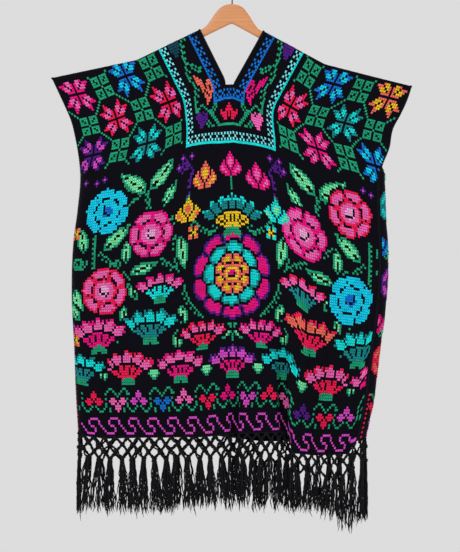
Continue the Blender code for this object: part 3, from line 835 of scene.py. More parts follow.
def hung_half(u, v, name):
    """Place (x, z) of the points u of one half, swung in from its arm of the hanger."""
    out = -1.0 if name == "left" else 1.0
    neck = tilted(out * NECK_REACH, NECK_TOP)
    reach = np.abs(u) - SLIT_HALF
    on_arm = np.minimum(reach, ARM_REACH)
    past = np.maximum(reach - ARM_REACH, 0.0)
    arm, tail = ARM_SLOPE + out * HANGER_TILT, TAIL_SLOPE + out * HANGER_TILT
    x = neck[0] + out * (on_arm * math.cos(arm) + past * math.cos(tail))
    z = neck[1] - on_arm * math.sin(arm) - past * math.sin(tail)
    swing, swing_lost, plumb, plumb_grows = SWING[name]
    share = np.abs(u) / HALF_WIDTH
    angle = np.radians(swing - swing_lost * share**3)
    stretch = STRETCH_EDGE + STRETCH_NECK * (1 - share) ** 2
    width = TURN_SHORT + TURN_GROWS * share**2
    start = plumb + plumb_grows * np.abs(u) - width / 2
    down = fall(v)
    t = np.clip((down - start) / width, 0.0, 1.0)
    swung = np.minimum(down, start) + width * (t - t**3 + t**4 / 2)
    x = x - out * np.sin(angle) * stretch * swung
    z = z - stretch * (down - (1 - np.cos(angle)) * swung)
    return x, z


def hung(u, v):
    """Place (x, z) of points u of the whole width. The stretch below the slit joins its two edges."""
    left = hung_half(np.minimum(u, -SLIT_HALF), v, "left")
    right = hung_half(np.maximum(u, SLIT_HALF), v, "right")
    share = np.clip((u + SLIT_HALF) / (2 * SLIT_HALF), 0.0, 1.0)
    return tuple(a + (b - a) * share for a, b in zip(left, right))


def fold_height(u, v, side):
    """How far the folds lift the cloth outward."""
    height = np.zeros_like(u)
    for u_top, u_hem, half, rise, start, whole, *fading in FOLDS[side]:
        middle = u_top + (u_hem - u_top) * v / LENGTH
        there = smooth((v - start) / (whole - start))
        if fading:
            there = there * (1 - smooth((v - fading[0]) / (fading[1] - fading[0])))
        height = height + rise * there * hump((u - middle) / half) ** 2
    return height


def wrap_angle(u, closed, side, stand):
    """How far the cloth has turned toward its seam, from lying flat. Closed is 0 to 1, as the seam is."""
    left, right = WRAP[side]
    whole = np.radians(np.where(u < 0, left, right)) * closed
    from_seam = HALF_WIDTH - np.abs(u) + GAP / 2
    return np.maximum(whole - from_seam / stand, 0.0)


def section(u, v, side):
    """Points of the middle of a panel's wall along one row of the cloth, as an array of x, y, z.

    u holds rising samples over the whole width, fine enough to follow the folds."""
    out = -1.0 if side == "front" else 1.0
    if v < FOLD_TURN:
        stand = GAP / 2 + FOLD_RADIUS * math.sin(v / FOLD_RADIUS)
    else:
        stand = float(through(DEPTH, v))
    closed = float(smooth((v - ARMHOLE_TURN) / (ARMHOLE - ARMHOLE_TURN)))
    turned = wrap_angle(u, closed, side, max(stand, 1.0))
    off_seam = smooth((HALF_WIDTH - np.abs(u)) / (1.6 * stand + 1.0))
    y = stand * np.cos(turned) + fold_height(u, v, side) * off_seam
    slope = np.gradient(y, u)
    run = np.sqrt(np.clip(1 - slope**2, 0.02, 1.0)) * np.sign(math.pi / 2 + 1e-6 - turned)
    steps = np.concatenate([[0.0], np.cumsum((run[1:] + run[:-1]) / 2 * np.diff(u))])
    across = steps - np.interp(0.0, u, steps)
    across = np.where(across < 0, across / -across[0], across / across[-1]) * HALF_WIDTH

    edge_left = float(through(OUTLINE, v, 1))
    edge_right = float(through(OUTLINE, v, 2)) - RIGHT_SEAM_INSET * closed + out * GAP / 2 * closed
    edge = np.where(across < 0, -edge_left, edge_right)
    plumb_x = edge * across / HALF_WIDTH
    top_x = hung(across, min(v, LENGTH))[0]
    x = top_x + (plumb_x - top_x) * float(smooth((v - MERGE_START) / MERGE_LENGTH))
    share = np.abs(across) / HALF_WIDTH
    miss = np.where(across < 0, edge_left - x[0], edge_right - x[-1])
    x = x + miss * share**4

    z = hung(u, min(v, YOKE_DEPTH))[1]
    if v > YOKE_DEPTH:
        z = z + (eased(HEM[side], u) - z) * (v - YOKE_DEPTH) / (LENGTH - YOKE_DEPTH)
    return np.stack([x, out * y, z], axis=-1)


def crease_lift(u, v, side):
    """Height of the small creases and of the cloth's own unevenness, none at the edges and over the fold."""
    lift = np.zeros(np.broadcast(u, v).shape)
    for u0, v0, u1, v1, half, rise in CREASES[side]:
        run_u, run_v = u1 - u0, v1 - v0
        length = math.hypot(run_u, run_v)
        along = ((u - u0) * run_u + (v - v0) * run_v) / length**2
        off = ((u - u0) * run_v - (v - v0) * run_u) / length / half
        ends = smooth(along / CREASE_TAPER) * smooth((1 - along) / CREASE_TAPER)
        lift += rise * ends * hump(off) ** 2
    for height, across, slant, start, down, down_start in RIPPLES:
        lift += height * np.sin(across * u + slant * v + start) * np.sin(down * v + down_start)
    return lift * smooth(v / CREASE_OFF_FOLD) * smooth((HALF_WIDTH - np.abs(u)) / CREASE_OFF_EDGE)


SAMPLE_U = CELL_W / 2
SAMPLE_V = CELL_H / 4
CLOTH_HALF = 0.5


class Cloth:
    """The middle of one side's hung cloth and its outward normals, sampled finely enough for stitches."""

    def __init__(self, side):
        self.side = side
        edge = math.floor(HALF_WIDTH / SAMPLE_U) * SAMPLE_U
        self.u = np.concatenate([[-HALF_WIDTH], np.arange(-edge, edge + 0.1, SAMPLE_U), [HALF_WIDTH]])
        self.v = np.arange(0.0, LENGTH + 0.1, SAMPLE_V)
        self.points = np.stack([section(self.u, v, side) for v in self.v])
        self.points[0, :, 1] = 0.0
        self.normals = self.outward()
        lift = crease_lift(self.u[None, :], self.v[:, None], side)
        self.points = self.points + self.normals * lift[..., None]
        self.normals = self.outward()

    def outward(self):
        along_u = np.gradient(self.points, self.u, axis=1)
        down_v = np.gradient(self.points, self.v, axis=0)
        normals = unit(np.cross(along_u, down_v))
        return -normals if self.side == "front" else normals

    def at(self, u, v):
        """Points and normals at places of any shape."""
        i = np.interp(u, self.u, np.arange(len(self.u)))
        j = np.interp(v, self.v, np.arange(len(self.v)))
        i0 = np.clip(i.astype(int), 0, len(self.u) - 2)
        j0 = np.clip(j.astype(int), 0, len(self.v) - 2)
        s, t = (i - i0)[..., None], (j - j0)[..., None]
        found = []
        for grid in (self.points, self.normals):
            upper = grid[j0, i0] * (1 - s) + grid[j0, i0 + 1] * s
            lower = grid[j0 + 1, i0] * (1 - s) + grid[j0 + 1, i0 + 1] * s
            found.append(upper * (1 - t) + lower * t)
        return found[0], unit(found[1])

    def seen_edge(self, v):
        """How far out the flat cloth is seen at the right side before it is turned in."""
        if self.side == "back":
            return np.full_like(v, HALF_WIDTH)
        return HALF_WIDTH - TURNED_IN * smooth((v - TURNED_FROM) / (TURNED_WHOLE - TURNED_FROM))

    def chart_place(self, u, v):
        """The model's (u, v) of a place on the chart: the turned-in strip is left out, and rows have slid."""
        scale = (HALF_WIDTH - SLIT_HALF) / (self.seen_edge(v) - SLIT_HALF)
        seen = np.where(u > SLIT_HALF, SLIT_HALF + (u - SLIT_HALF) * scale, u)
        if self.side == "back":
            return seen, v
        most, start, over = [np.where(u < 0, *pair) for pair in zip(SLID["left"], SLID["right"])]
        slid = most * smooth((np.abs(u) - start) / over) * (1 - smooth((v - SLID_WHOLE) / SLID_FADES))
        for u0, v0, across, down, half_u, half_v in SHIFTS:
            near = hump((u - u0) / half_u) * hump((v - v0) / half_v)
            seen = seen + across * near**2
            slid = slid + down * near**2
        return seen, v + slid


class Joined:
    """Gathers many small grids of quads into one object."""

    def __init__(self):
        self.points, self.quads, self.uvs, self.slots = [], [], [], []
        self.count = 0

    def add(self, points, quads, uvs, slots=0):
        self.points.append(points.reshape(-1, 3))
        self.quads.append(quads + self.count)
        self.uvs.append(uvs.reshape(-1, 2))
        self.slots.append(np.broadcast_to(slots, len(quads)))
        self.count += len(self.points[-1])

    def build(self, name, materials):
        points = np.concatenate(self.points) * MM
        quads = np.concatenate(self.quads).astype(np.int32)
        mesh = bpy.data.meshes.new(name)
        mesh.vertices.add(len(points))
        mesh.vertices.foreach_set("co", points.ravel())
        mesh.loops.add(quads.size)
        mesh.loops.foreach_set("vertex_index", quads.ravel())
        mesh.polygons.add(len(quads))
        mesh.polygons.foreach_set("loop_start", np.arange(0, quads.size, 4, dtype=np.int32))
        mesh.polygons.foreach_set("material_index", np.concatenate(self.slots).astype(np.int32))
        mesh.uv_layers.new(name="thread").data.foreach_set("uv", (np.concatenate(self.uvs) * MM).ravel())
        mesh.update(calc_edges=True)
        mesh.shade_smooth()
        for finish in materials:
            mesh.materials.append(finish)
        piece = bpy.data.objects.new(name, mesh)
        bpy.context.scene.collection.objects.link(piece)
        return piece


def grid_quads(items, stations, profile, closed=False):
    """Quads over several grids of stations by profile points, each grid's points in that order."""
    first = (np.arange(items) * stations * profile)[:, None, None]
    s = np.arange(stations - 1)[None, :, None] * profile
    p = np.arange(profile if closed else profile - 1)[None, None, :]
    a, b = first + s + p, first + s + (p + 1) % profile
    return np.stack([a, b, b + profile, a + profile], axis=-1).reshape(-1, 4)


def grid_uvs(along, around):
    """A place for each corner of grid_quads: along is (items, stations), around one more than the strips."""
    a, b = np.broadcast_arrays(along[:, :-1, None], around[None, None, :-1])
    c, d = np.broadcast_arrays(along[:, 1:, None], around[None, None, 1:])
    return np.stack([a, b, a, d, c, d, c, b], axis=-1).reshape(-1, 4, 2)


def lengths_along(paths):
    steps = np.linalg.norm(np.diff(paths, axis=1), axis=2)
    return np.concatenate([np.zeros((len(paths), 1)), np.cumsum(steps, axis=1)], axis=1)


def unit(vectors):
    return vectors / np.maximum(np.linalg.norm(vectors, axis=-1), 1e-9)[..., None]


def between(at, keys, values):
    """Vectors, one for each key, read at places between the keys."""
    return np.stack([np.interp(at, keys, values[:, k]) for k in range(3)], axis=-1)


def ribbons(joined, paths, normals, widths, crown, slots):
    """Threads with a raised middle, their faces out along the normals."""
    across = unit(np.cross(unit(np.gradient(paths, axis=1)), normals))
    half = widths[..., None] / 2
    profile = [paths - across * half, paths + normals * crown, paths + across * half]
    points = np.stack(profile, axis=2)
    items, stations = paths.shape[:2]
    quads = grid_quads(items, stations, 3)
    uvs = grid_uvs(lengths_along(paths), np.array([0.0, THREAD_WIDTH / 2, THREAD_WIDTH]))
    joined.add(points, quads, uvs, np.repeat(slots, (stations - 1) * 2))


def tubes(joined, paths, radii, sides, reference, slots=0):
    """Round yarns along paths (items, stations, 3), whose tangents stay off the reference direction."""
    tangent = unit(np.gradient(paths, axis=1))
    across = unit(np.cross(tangent, np.broadcast_to(reference, tangent.shape)))
    upward = np.cross(across, tangent)
    turns = 2 * math.pi * np.arange(sides) / sides
    wheel = np.cos(turns)[:, None] * across[:, :, None] + np.sin(turns)[:, None] * upward[:, :, None]
    points = paths[:, :, None] + np.broadcast_to(radii, paths.shape[:2])[..., None, None] * wheel
    items, stations = paths.shape[:2]
    quads = grid_quads(items, stations, sides, closed=True)[:, [0, 3, 2, 1]]
    girth = 2 * math.pi * float(np.mean(radii))
    uvs = grid_uvs(lengths_along(paths), girth * np.arange(sides + 1) / sides)[:, [0, 3, 2, 1]]
    joined.add(points, quads, uvs, slots)


# Cross-stitches

THREAD_WIDTH = 2.4
THREAD_UNEVEN = (0.9, 1.08)
HOLE_INSET = 0.08
HOLE_STRAY = 0.28
UNDER_STATIONS = np.array([0.0, 0.5, 1.0])
UNDER_HEIGHTS = np.array([-0.15, 0.35, -0.15])
UNDER_WIDTHS = np.array([0.55, 1.0, 0.55])
OVER_STATIONS = np.array([0.0, 0.32, 0.68, 1.0])
OVER_HEIGHTS = np.array([-0.1, 0.85, 0.85, -0.1])
OVER_WIDTHS = np.array([0.55, 1.0, 1.0, 0.55])
THREAD_CROWN = 0.42


def stitch(joined, cloth, start, end, stations, heights, widths, wobble, slots):
    """One thread of each stitch, from the start to the end holes, both as (u, v)."""
    along = HOLE_INSET + (1 - 2 * HOLE_INSET) * stations
    places = start[:, None] + (end - start)[:, None] * along[None, :, None]
    points, normals = cloth.at(*cloth.chart_place(places[..., 0], places[..., 1]))
    lift = CLOTH_HALF + heights * wobble[:, None]
    widths = THREAD_WIDTH * widths * wobble[:, None]
    ribbons(joined, points + normals * lift[..., None], normals, widths, THREAD_CROWN, slots)


def cross_stitches(name, cloth, cells, first, last, finishes, seed):
    """All the stitches of rows first to last of one side, as one object with a slot for each thread."""
    rng = np.random.default_rng(seed)
    shift = rng.uniform(-HOLE_STRAY, HOLE_STRAY, (ROWS + 1, 2 * EDGE_COL + 2, 2))
    shift[0] = 0.0
    rows, cols = np.nonzero(cells[first : last + 1] != BARE)
    rows = rows + first
    outer = (cols - EDGE_COL + 0.5) * CELL_W
    seen = outer < cloth.seen_edge((rows + 0.5) * CELL_H) - 1.0
    rows, cols = rows[seen], cols[seen]

    def hole(row, col):
        place = np.stack([(col - EDGE_COL - 0.5) * CELL_W, row * CELL_H], axis=-1)
        return place + shift[row, col]

    slots = cells[rows, cols]
    joined = Joined()
    for start, end, stations, heights, widths in (
        (hole(rows + 1, cols), hole(rows, cols + 1), UNDER_STATIONS, UNDER_HEIGHTS, UNDER_WIDTHS),
        (hole(rows, cols), hole(rows + 1, cols + 1), OVER_STATIONS, OVER_HEIGHTS, OVER_WIDTHS),
    ):
        wobble = rng.uniform(*THREAD_UNEVEN, len(rows))
        stitch(joined, cloth, start, end, stations, heights, widths, wobble, slots)
    return joined.build(name, finishes)


# The woven ground, its rows of points closer together over the fold

OVER_FOLD = [0.0, 2.2, 4.4, 6.6, 8.8, 11.2, 14.5]


def cloth_rows():
    return np.array(OVER_FOLD + [CELL_H * k for k in range(3, ROWS, 2)] + [LENGTH])


def cloth_columns():
    inner = (np.arange(2 * EDGE_COL + 2) - EDGE_COL - 0.5) * CELL_W
    return np.concatenate([[-HALF_WIDTH], inner, [HALF_WIDTH]])


def woven_shell(name, cloth, finish):
    """The cloth of one side with its real thickness, open along the slit."""
    u, v = cloth_columns(), cloth_rows()
    grid_u, grid_v = np.meshgrid(u, v)
    points, normals = cloth.at(grid_u, grid_v)
    rows, cols = grid_u.shape
    index = np.arange(rows * cols).reshape(rows, cols)
    a, b, c, d = index[:-1, :-1], index[:-1, 1:], index[1:, 1:], index[1:, :-1]
    middle_u, middle_v = (grid_u[:-1, :-1] + grid_u[:-1, 1:]) / 2, (grid_v[:-1, :-1] + grid_v[1:, :-1]) / 2
    solid = ~((np.abs(middle_u) < SLIT_HALF) & (middle_v < SLIT_ROWS * CELL_H))
    faces = np.stack([a[solid], d[solid], c[solid], b[solid]], axis=-1)
    if cloth.side == "back":
        faces = faces[:, ::-1]

    edges = dict.fromkeys((face[k], face[(k + 1) % 4]) for face in faces for k in range(4))
    rim = np.array([(p, q) for p, q in edges if (q, p) not in edges])
    count = rows * cols
    walls = np.stack([rim[:, 1], rim[:, 0], rim[:, 0] + count, rim[:, 1] + count], axis=-1)
    quads = np.concatenate([faces, faces[:, ::-1] + count, walls])
    both = np.concatenate([points.reshape(-1, 3), points.reshape(-1, 3)])
    facing = np.concatenate([normals.reshape(-1, 3), -normals.reshape(-1, 3)])
    flat = np.stack([grid_u.ravel(), grid_v.ravel()], axis=-1)
    flat = np.concatenate([flat, flat])
    joined = Joined()
    joined.add(both + facing * CLOTH_HALF, quads, flat[quads])
    return joined.build(name, [finish])


# Sewn edges: a roll of cloth, and yarn that goes over it and into both faces beside it

ROLL_RADIUS = 1.35
ROLL_INSET = 0.6
ROLL_SIDES = 8
YARN_SIDES = 5
SIDE_STEP = 5.25
HEM_SAMPLES = 170
SLIT_SAMPLES = 40
FOOT_SAMPLES = 12
EDGE_PITCH = 4.2
EDGE_YARN = 0.62
EDGE_TURN = np.radians([90.0, 60.0, 25.0, -25.0, -60.0, -90.0])
EDGE_REACH = np.concatenate([[3.6], -1.5 * np.cos(EDGE_TURN), [3.6]])
EDGE_RISE = np.concatenate([[0.9], 1.9 * np.sin(EDGE_TURN), [-0.9]])
EDGE_SLANT = np.linspace(-0.8, 0.8, len(EDGE_REACH))


def sewn_edge(joined, cloth, u, v, inward):
    """A sewn edge along places (u, v) of the cloth. Inward is (du, dv) into the cloth."""
    points, normals = cloth.at(u, v)
    into, _ = cloth.at(u + inward[0] * 2.0, v + inward[1] * 2.0)
    into = unit(into - points)
    roll = points + into * ROLL_INSET
    reference = unit(np.cross(unit(np.gradient(roll, axis=0)), normals))
    tubes(joined, roll[None], np.full((1, len(roll)), ROLL_RADIUS), ROLL_SIDES, reference[None] + 0.01)
    along = lengths_along(roll[None])[0]
    at = np.arange(EDGE_PITCH / 2, along[-1], EDGE_PITCH)[:, None] + EDGE_SLANT
    path = between(at, along, roll) + between(at, along, into) * EDGE_REACH[:, None]
    path = path + unit(between(at, along, normals)) * EDGE_RISE[:, None]
    side = unit(between(at + 1.0, along, roll) - between(at - 1.0, along, roll))
    tubes(joined, path, np.full(path.shape[:2], EDGE_YARN), YARN_SIDES, side)


def edges_of(name, cloth, finish):
    """The side edges, the hem, and both edges and the foot of the slit."""
    joined = Joined()
    down = np.arange(0.0, LENGTH + 0.1, SIDE_STEP)
    wide = np.linspace(-HALF_WIDTH, HALF_WIDTH, HEM_SAMPLES)
    slit = np.linspace(0.0, SLIT_LENGTH, SLIT_SAMPLES)
    foot = np.linspace(-SLIT_HALF, SLIT_HALF, FOOT_SAMPLES)
    for u, v, inward in (
        (-HALF_WIDTH, down, (1.0, 0.0)),
        (HALF_WIDTH, down, (-1.0, 0.0)),
        (wide, LENGTH, (0.0, -1.0)),
        (-SLIT_HALF, slit, (-1.0, 0.0)),
        (SLIT_HALF, slit, (1.0, 0.0)),
        (foot, SLIT_LENGTH, (0.0, 1.0)),
    ):
        sewn_edge(joined, cloth, *np.broadcast_arrays(u, v), inward)
    return joined.build(name, [finish])


# The knotted fringe

TASSELS = {"front": 30, "back": 29}
NET_TOP = 0.5
KNOT_ROWS = (17.0, 34.0, 51.0)
KNOT_HALF = 6.6
KNOT_STRAY = 2.8
KNOT_YARN = 1.5
KNOT_TURNS = 2.4
KNOT_STATIONS = 22
KNOT_SIDES = 6
KNOT_LEAN = 0.26
KNOT_UNEVEN = (0.85, 1.1)
CORE_STATIONS = 6
CORE_SIDES = 8
CORE_TALL = 1.15
# Radius and height of the knots at the hem, in the net and over the tassels
HEM_KNOT = (3.4, 5.0)
NET_KNOT = (4.6, 8.5)
TASSEL_KNOT = (4.9, 9.0)
BELOW_PLACE = (0.0, 2.5)
YARNS_IN_CORD = 3
CORD_YARN = 1.95
CORD_TWIST = 0.36
CORD_CLOSE = 0.92
CORD_STATIONS = 6
# How far the cords stray down and outward
CORD_STRAY = (0.25, 0.5)
TASSEL_YARNS = 15
TASSEL_YARN = 1.2
TASSEL_STATIONS = 15
TASSEL_ROOT = (3.4, 2.6)
TASSEL_UNEVEN = 7.0
TASSEL_LEAN = 4.5
# How far a tassel's yarns spread by their ends, how far each strays from that, and how far it may at most
SPREAD_ACROSS = (7.0, 3.4, 6.5)
SPREAD_OUT = (1.9, 0.8, 1.2)
# Waves of each hanging yarn, as (length, height)
YARN_WAVES = ((64.0, 1.5), (31.0, 1.0), (17.0, 0.55))
YARN_UNEVEN = (0.85, 1.15)
YARN_END = 0.45
END_FIBRES = 3
FIBRE_RADII = np.array([[0.3, 0.24, 0.1]])
FIBRE_SIDES = 3
FIBRE_LENGTH = (2.0, 5.0)
FIBRE_STRAY = 0.32
FIBRE_BEND = 0.3
FIBRE_FLAT = (1.0, 0.4, 1.0)
# How far the first tassels stand outward at their ends, and the last that does
LEAN_OUT = 30.0
LEAN_LAST = -310.0
# Height of the fringe's ends, across each hem, as (u, z)
FRINGE_END = {
    "front": ((-381, -1232), (-150, -1238), (40, -1204), (180, -1220), (300, -1240), (350, -1278)),
    "back": ((-381, -1246), (-120, -1234), (60, -1236), (381, -1262)),
}


class Fringe:
    """The yarns below one hem. A place is u across the hem, w below it and d out from its middle."""

    def __init__(self, cloth, seed):
        self.side = cloth.side
        self.u = np.linspace(-HALF_WIDTH, HALF_WIDTH, 400)
        self.hem, facing = cloth.at(self.u, np.full_like(self.u, LENGTH))
        facing[:, 2] = 0.0
        self.facing = unit(facing)
        self.rng = np.random.default_rng(seed)
        self.joined = Joined()

    def place(self, u, w, d):
        out = unit(between(u, self.u, self.facing))
        at = between(u, self.u, self.hem) + out * np.asarray(d)[..., None]
        at[..., 2] -= w
        return at, out

    def cords(self, start, end):
        """Cords of twisted yarns from the places start to end, each (u, w) for every cord."""
        t = np.linspace(0.0, 1.0, CORD_STATIONS)[None, :]
        u = start[:, :1] + (end[:, :1] - start[:, :1]) * t
        stray_w, stray_d = [self.rng.normal(0, stray, (len(start), 1)) for stray in CORD_STRAY]
        w = start[:, 1:] + (end[:, 1:] - start[:, 1:]) * t + stray_w
        middle, out = self.place(u, w, np.zeros_like(u) + stray_d)
        tangent = unit(np.gradient(middle, axis=1))
        across = unit(np.cross(tangent, out))
        along = lengths_along(middle)
        for k in range(YARNS_IN_CORD):
            first = self.rng.uniform(0, 6, (len(start), 1))
            turn = along * CORD_TWIST + 2 * math.pi * k / YARNS_IN_CORD + first
            offset = across * np.cos(turn)[..., None] + out * np.sin(turn)[..., None]
            tubes(self.joined, middle + offset * CORD_YARN * CORD_CLOSE, CORD_YARN, YARN_SIDES, out)

    def knots(self, places, radius, height):
        """Each knot is a few turns of yarn about its cords, a little askew, round a soft core."""
        count = len(places)
        u, w = places[:, :1], places[:, 1:]
        t = np.linspace(0.0, 1.0, KNOT_STATIONS)[None, :]
        turn = 2 * math.pi * KNOT_TURNS * t + self.rng.uniform(0, 6, (count, 1))
        lean = self.rng.normal(0, KNOT_LEAN, (count, 1))
        bulge = radius * self.rng.uniform(*KNOT_UNEVEN, (count, 1)) * (0.72 + 0.28 * np.sin(math.pi * t))
        down = (t - 0.5) * height
        path, _ = self.place(
            u + bulge * np.cos(turn) + lean * down,
            w + down + lean * bulge * np.cos(turn),
            bulge * np.sin(turn),
        )
        tubes(self.joined, path, KNOT_YARN, KNOT_SIDES, np.array([0.0, 0.0, 1.0]))
        t = np.linspace(0.0, 1.0, CORE_STATIONS)[None, :]
        core, out = self.place(u + 0 * t, w + (t - 0.5) * height * CORE_TALL, 0 * t + 0 * u)
        tubes(self.joined, core, radius * (0.35 + 0.6 * np.sin(math.pi * t)), CORE_SIDES, out)

    def tassels(self, heads):
        """Wavy yarns that hang from each head, of uneven length, each frayed at its end."""
        count = len(heads) * TASSEL_YARNS
        head_u, head_w = np.split(np.repeat(heads, TASSEL_YARNS, axis=0), 2, axis=1)
        number = np.tile(np.arange(TASSEL_YARNS), len(heads))[:, None]
        rng = self.rng

        def spread_by(share, reach, stray, most):
            return share * reach + np.clip(rng.normal(0, stray, (count, 1)), -most, most)

        spot = 2 * math.pi * number / TASSEL_YARNS + rng.uniform(0, 0.5, (count, 1))
        root_u, root_d = TASSEL_ROOT[0] * np.cos(spot), TASSEL_ROOT[1] * np.sin(spot)
        hem_z = np.interp(head_u, self.u, self.hem[:, 2])
        end = hem_z - through(FRINGE_END[self.side], head_u) + rng.normal(0, TASSEL_UNEVEN, (count, 1))
        t = np.linspace(0.0, 1.0, TASSEL_STATIONS)[None, :]
        w_at = head_w + (end - head_w) * t
        lean = np.repeat(rng.normal(0, TASSEL_LEAN, len(heads)), TASSEL_YARNS)[:, None]
        lean = lean - LEAN_OUT * smooth((LEAN_LAST - head_u) / (HALF_WIDTH + LEAN_LAST))
        spread = spread_by(np.cos(spot), *SPREAD_ACROSS) + lean
        spread_d = spread_by(np.sin(spot), *SPREAD_OUT)
        ripple, ripple_d = np.zeros_like(w_at), np.zeros_like(w_at)
        for wave, size in YARN_WAVES:
            own = wave * rng.uniform(0.8, 1.2, (count, 1))
            ripple += size * np.sin(2 * math.pi * w_at / own + rng.uniform(0, 6.3, (count, 1)))
            ripple_d += 0.5 * size * np.sin(2 * math.pi * w_at / own + rng.uniform(0, 6.3, (count, 1)))
        open_up = smooth(t * 3.0)
        u_at = head_u + root_u + spread * t**0.8 + ripple * open_up
        d_at = root_d + spread_d * t**0.8 + ripple_d * open_up
        path, out = self.place(u_at, w_at, d_at)
        thin = TASSEL_YARN * np.where(t < 1.0, 1.0, YARN_END) * rng.uniform(*YARN_UNEVEN, (count, 1))
        tubes(self.joined, path, thin, YARN_SIDES, out)

        tip, before = path[:, -1], path[:, -2]
        way = unit(tip - before)
        for _ in range(END_FIBRES):
            stray = unit(way + rng.normal(0, FIBRE_STRAY, (count, 3)) * FIBRE_FLAT)
            length = rng.uniform(*FIBRE_LENGTH, (count, 1))
            bent = unit(stray + rng.normal(0, FIBRE_BEND, (count, 3)) * FIBRE_FLAT)
            middle = tip + stray * length * 0.5
            fibre = np.stack([tip - way * 1.5, middle, middle + bent * length * 0.5], axis=1)
            tubes(self.joined, fibre, FIBRE_RADII, FIBRE_SIDES, out[:, :3])

    def build(self, name, finish):
        count = TASSELS[self.side]
        pitch_u = 2 * HALF_WIDTH / count
        ends = -HALF_WIDTH + pitch_u * np.arange(count + 1)
        ends[0] += KNOT_HALF
        ends[-1] -= KNOT_HALF
        mids = -HALF_WIDTH + pitch_u * (np.arange(count) + 0.5)
        heads = np.stack([ends, np.full_like(ends, NET_TOP)], axis=-1)
        rows = []
        for u, w in zip((mids, ends, mids), KNOT_ROWS):
            stray = self.rng.uniform(-KNOT_STRAY, KNOT_STRAY, (len(u), 2))
            rows.append(np.stack([u, np.full_like(u, w)], axis=-1) + stray)
        first, second, third = rows
        for upper, lower in (
            (heads[:-1], first),
            (heads[1:], first),
            (first, second[:-1]),
            (first, second[1:]),
            (second[:-1], third),
            (second[1:], third),
        ):
            self.cords(upper, lower)
        self.knots(heads + BELOW_PLACE, *HEM_KNOT)
        self.knots(first, *NET_KNOT)
        self.knots(second, *NET_KNOT)
        self.knots(third, *TASSEL_KNOT)
        self.tassels(third + BELOW_PLACE)
        return self.joined.build(name, [finish])


# The hanger

WOOD_STATIONS = 62
WOOD_ROUND_STEPS = 12
WOOD_GIRTH = 60.0
TIP_TURNS = (10, 20, 32, 45, 58, 70, 80, 86)
ROD_SIDES = 14
LOOP_STEPS = 44
BEND_STEPS = 14
# The rod's rounded end: how far past the path each of its rings is, and their radii
ROD_END_REACH = (1.2, 0.9, 0.4)
ROD_END_RADII = (0.05, 0.9, 1.4)


def arm_top(x):
    """Height of the top of the hanger's arm, in the hanger's own frame."""
    cover = (SEAT_GAP + WALL / 2) / math.cos(ARM_SLOPE)
    return NECK_TOP - cover - (abs(x) - NECK_REACH) * math.tan(ARM_SLOPE)


def underside(x):
    return UNDERSIDE_TOP - UNDERSIDE_SLOPE * (math.hypot(x, UNDERSIDE_ROUND) - UNDERSIDE_ROUND)


def topside(x):
    if abs(x) < CROWN[-1][0]:
        return CROWN_TOP - float(through(CROWN, abs(x)))
    return arm_top(x)


def hanger_wood(finish):
    """The flat wooden hanger, lofted from upright sections with round edges."""
    body = np.linspace(0.0, ARM_TIP - TIP_ROUND, WOOD_STATIONS)
    tip = ARM_TIP - TIP_ROUND * (1 - np.sin(np.radians(TIP_TURNS)))
    side = np.concatenate([body, tip])
    stations = np.concatenate([-side[:0:-1], side])
    turns = np.linspace(0.0, math.pi, WOOD_ROUND_STEPS + 1)
    rings = []
    for x in stations:
        top, bottom = topside(x), underside(x)
        past = max(abs(x) - (ARM_TIP - TIP_ROUND), 0.0) / TIP_ROUND
        narrow = math.sqrt(1 - past * past)
        middle, half = (top + bottom) / 2, (top - bottom) / 2 * narrow
        round_y = HANGER_THICK / 2 * narrow
        round_z = min(HANGER_THICK / 2 / math.cos(ARM_SLOPE), half * 0.98)
        upper_z = middle + half - round_z * (1 - np.sin(turns))
        lower_z = middle - half + round_z * (1 - np.sin(turns))
        y = np.concatenate([round_y * np.cos(turns), -round_y * np.cos(turns)])
        z = np.concatenate([upper_z, lower_z])
        turned_x, turned_z = tilted(np.full_like(z, x), z)
        rings.append(np.stack([turned_x, y, turned_z], axis=-1))
    points = np.stack(rings)[None]
    count = points.shape[2]
    quads = grid_quads(1, len(stations), count, closed=True)
    girth = np.linspace(0.0, WOOD_GIRTH, count + 1)
    joined = Joined()
    joined.add(points, quads, grid_uvs(stations[None], girth))
    k = np.arange(count // 2 - 1)
    cap = np.stack([k, k + 1, count - 2 - k, count - 1 - k], axis=-1)
    for quads in (cap[:, ::-1], cap + (len(stations) - 1) * count):
        joined.quads.append(quads)
        joined.uvs.append(np.zeros((quads.size, 2)))
        joined.slots.append(np.zeros(len(quads), int))
    return joined.build("wood", [finish])


def hook_path():
    """The middle of the rod, from the open tip of the loop over the seat and down the shank."""
    radius = LOOP_RADIUS + ROD / 2
    middle_z = ROD / 2 - radius
    turns = np.linspace(LOOP_TIP, LOOP_FOOT, LOOP_STEPS + 1)
    path = [(radius * math.cos(turn), middle_z + radius * math.sin(turn)) for turn in turns]
    x0, z0 = path[-1]
    near = (x0 - BEND_PULL[0] * math.sin(LOOP_FOOT), z0 + BEND_PULL[0] * math.cos(LOOP_FOOT))
    corners = ((x0, z0), near, (0.0, SHANK_TOP + BEND_PULL[1]), (0.0, SHANK_TOP))
    for k in range(1, BEND_STEPS + 1):
        t = k / BEND_STEPS
        weights = ((1 - t) ** 3, 3 * t * (1 - t) ** 2, 3 * t * t * (1 - t), t**3)
        path.append(tuple(sum(w * c[axis] for w, c in zip(weights, corners)) for axis in range(2)))
    path.append((0.0, CROWN_TOP - SHANK_SUNK))
    return np.array(path)


